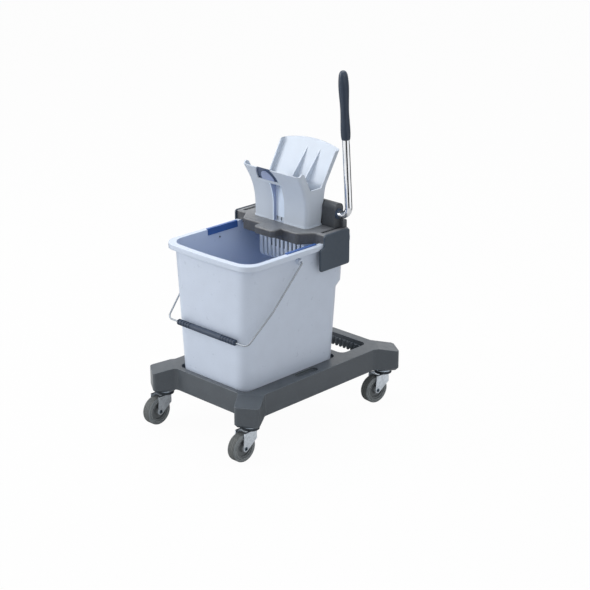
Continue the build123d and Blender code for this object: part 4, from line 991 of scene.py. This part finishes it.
def stem_front(z):
    """Where the stem's front is at a height, with the wall's flare growing evenly from its bend."""
    rise = max(z - FLARE_FROM, 0)
    return STEM_FACE_Y - FLARE_SLOPE * rise ** 2 / (2 * (FLARE_TO - FLARE_FROM))


bpy.ops.object.select_all(action="DESELECT")
bpy.ops.mesh.primitive_grid_add(x_subdivisions=1, y_subdivisions=STEM_ROWS, size=1, rotation=(pi / 2, 0, pi / 2))
stem = bpy.context.object
stem.name = "catch_stem"
stem.scale = (STEM_BACK_Y - STEM_FACE_Y, STEM_HIGH - STEM_LOW, 1)
stem.location = (STEM_RIGHT, (STEM_FACE_Y + STEM_BACK_Y) / 2, (STEM_LOW + STEM_HIGH) / 2)
settle()
bpy.ops.object.mode_set(mode="EDIT")
mesh = bmesh.from_edit_mesh(stem.data)
for vertex in mesh.verts:
    if vertex.co.y < STEM_FACE_Y + NEAR:
        vertex.co.y = stem_front(vertex.co.z)
bmesh.update_edit_mesh(stem.data)
print("stem's front runs from", round(stem_front(STEM_LOW), 4), "to", round(stem_front(STEM_HIGH), 4))

# %% Thicken and round the stem
STEM_ROUND = 0.0009
STEM_ROUND_STEPS = 3
FACING_FRONT = 0.5


def up_the_front(start, end):
    in_front = all(point.y < stem_front(point.z) + NEAR for point in (start, end))
    return in_front and abs(start.z - end.z) > NEAR


bpy.ops.mesh.select_all(action="SELECT")
extrude(x=STEM_LEFT - STEM_RIGHT)
face_outwards()
bpy.ops.mesh.select_mode(type="EDGE")
pick_edges(stem, up_the_front)
bpy.ops.mesh.bevel(offset=STEM_ROUND, segments=STEM_ROUND_STEPS)
bpy.ops.object.mode_set(mode="OBJECT")
bpy.ops.object.shade_smooth_by_angle(angle=SMOOTH_ANGLE)
stem.data.materials.append(finishes["catch_plastic"])
stem.data.materials.append(finishes["painted_light_plastic"])
# Front faces get the pale finish as a painted highlight; the blue-grey sides are partly painted shade.
for face in stem.data.polygons:
    face.material_index = int(face.normal.y < -FACING_FRONT)
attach(stem, "press")
print("stem:", len(stem.data.polygons), "faces")

# %% [markdown]
# ## Return spring
# A torsion spring on the left end of the shaft lifts the lever again. The solid is the sleeve that its coils
# fill; the real one is round wire wound close. A circle carried along a screw path gives that wire, and the
# Screw modifier needs only the pitch and the number of turns.

# %% Wind the return spring
SPRING_WIRE = 0.002
SPRING_PITCH = 0.00225
WIRE_SIDES = 10
TURN_STEPS = 32

spring_low, spring_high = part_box("return_spring")
spring_middle = (spring_low + spring_high) / 2
coil_reach = (spring_high.z - spring_low.z) / 2 - SPRING_WIRE / 2
turns = int((spring_high.x - spring_low.x - SPRING_WIRE) / SPRING_PITCH)
bpy.ops.object.select_all(action="DESELECT")
bpy.ops.mesh.primitive_circle_add(vertices=WIRE_SIDES, radius=SPRING_WIRE / 2, rotation=(pi / 2, 0, 0))
spring = bpy.context.object
spring.name = "return_spring_coil"
settle()
bpy.ops.object.mode_set(mode="EDIT")
bpy.ops.mesh.select_all(action="SELECT")
bpy.ops.transform.translate(value=(0, 0, coil_reach))
bpy.ops.object.mode_set(mode="OBJECT")
screw = spring.modifiers.new("coil", "SCREW")
screw.axis = "X"
screw.screw_offset = SPRING_PITCH
screw.iterations = turns
screw.steps = TURN_STEPS
screw.render_steps = TURN_STEPS
screw.use_smooth_shade = True
bpy.ops.object.modifier_apply(modifier="coil")
print("spring:", turns, "turns,", len(spring.data.polygons), "faces")

# %% Close the spring's ends and put it in place
bpy.ops.object.mode_set(mode="EDIT")
bpy.ops.mesh.select_all(action="SELECT")
bpy.ops.mesh.fill_holes(sides=WIRE_SIDES)
face_outwards()
bpy.ops.object.mode_set(mode="OBJECT")
spring.location = (spring_low.x + SPRING_WIRE / 2, spring_middle.y, spring_middle.z)
settle()
spring.data.materials.append(finishes["zinc_steel"])
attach(spring, "lever")
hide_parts("return_spring")
print("spring in place:", len(spring.data.polygons), "faces")
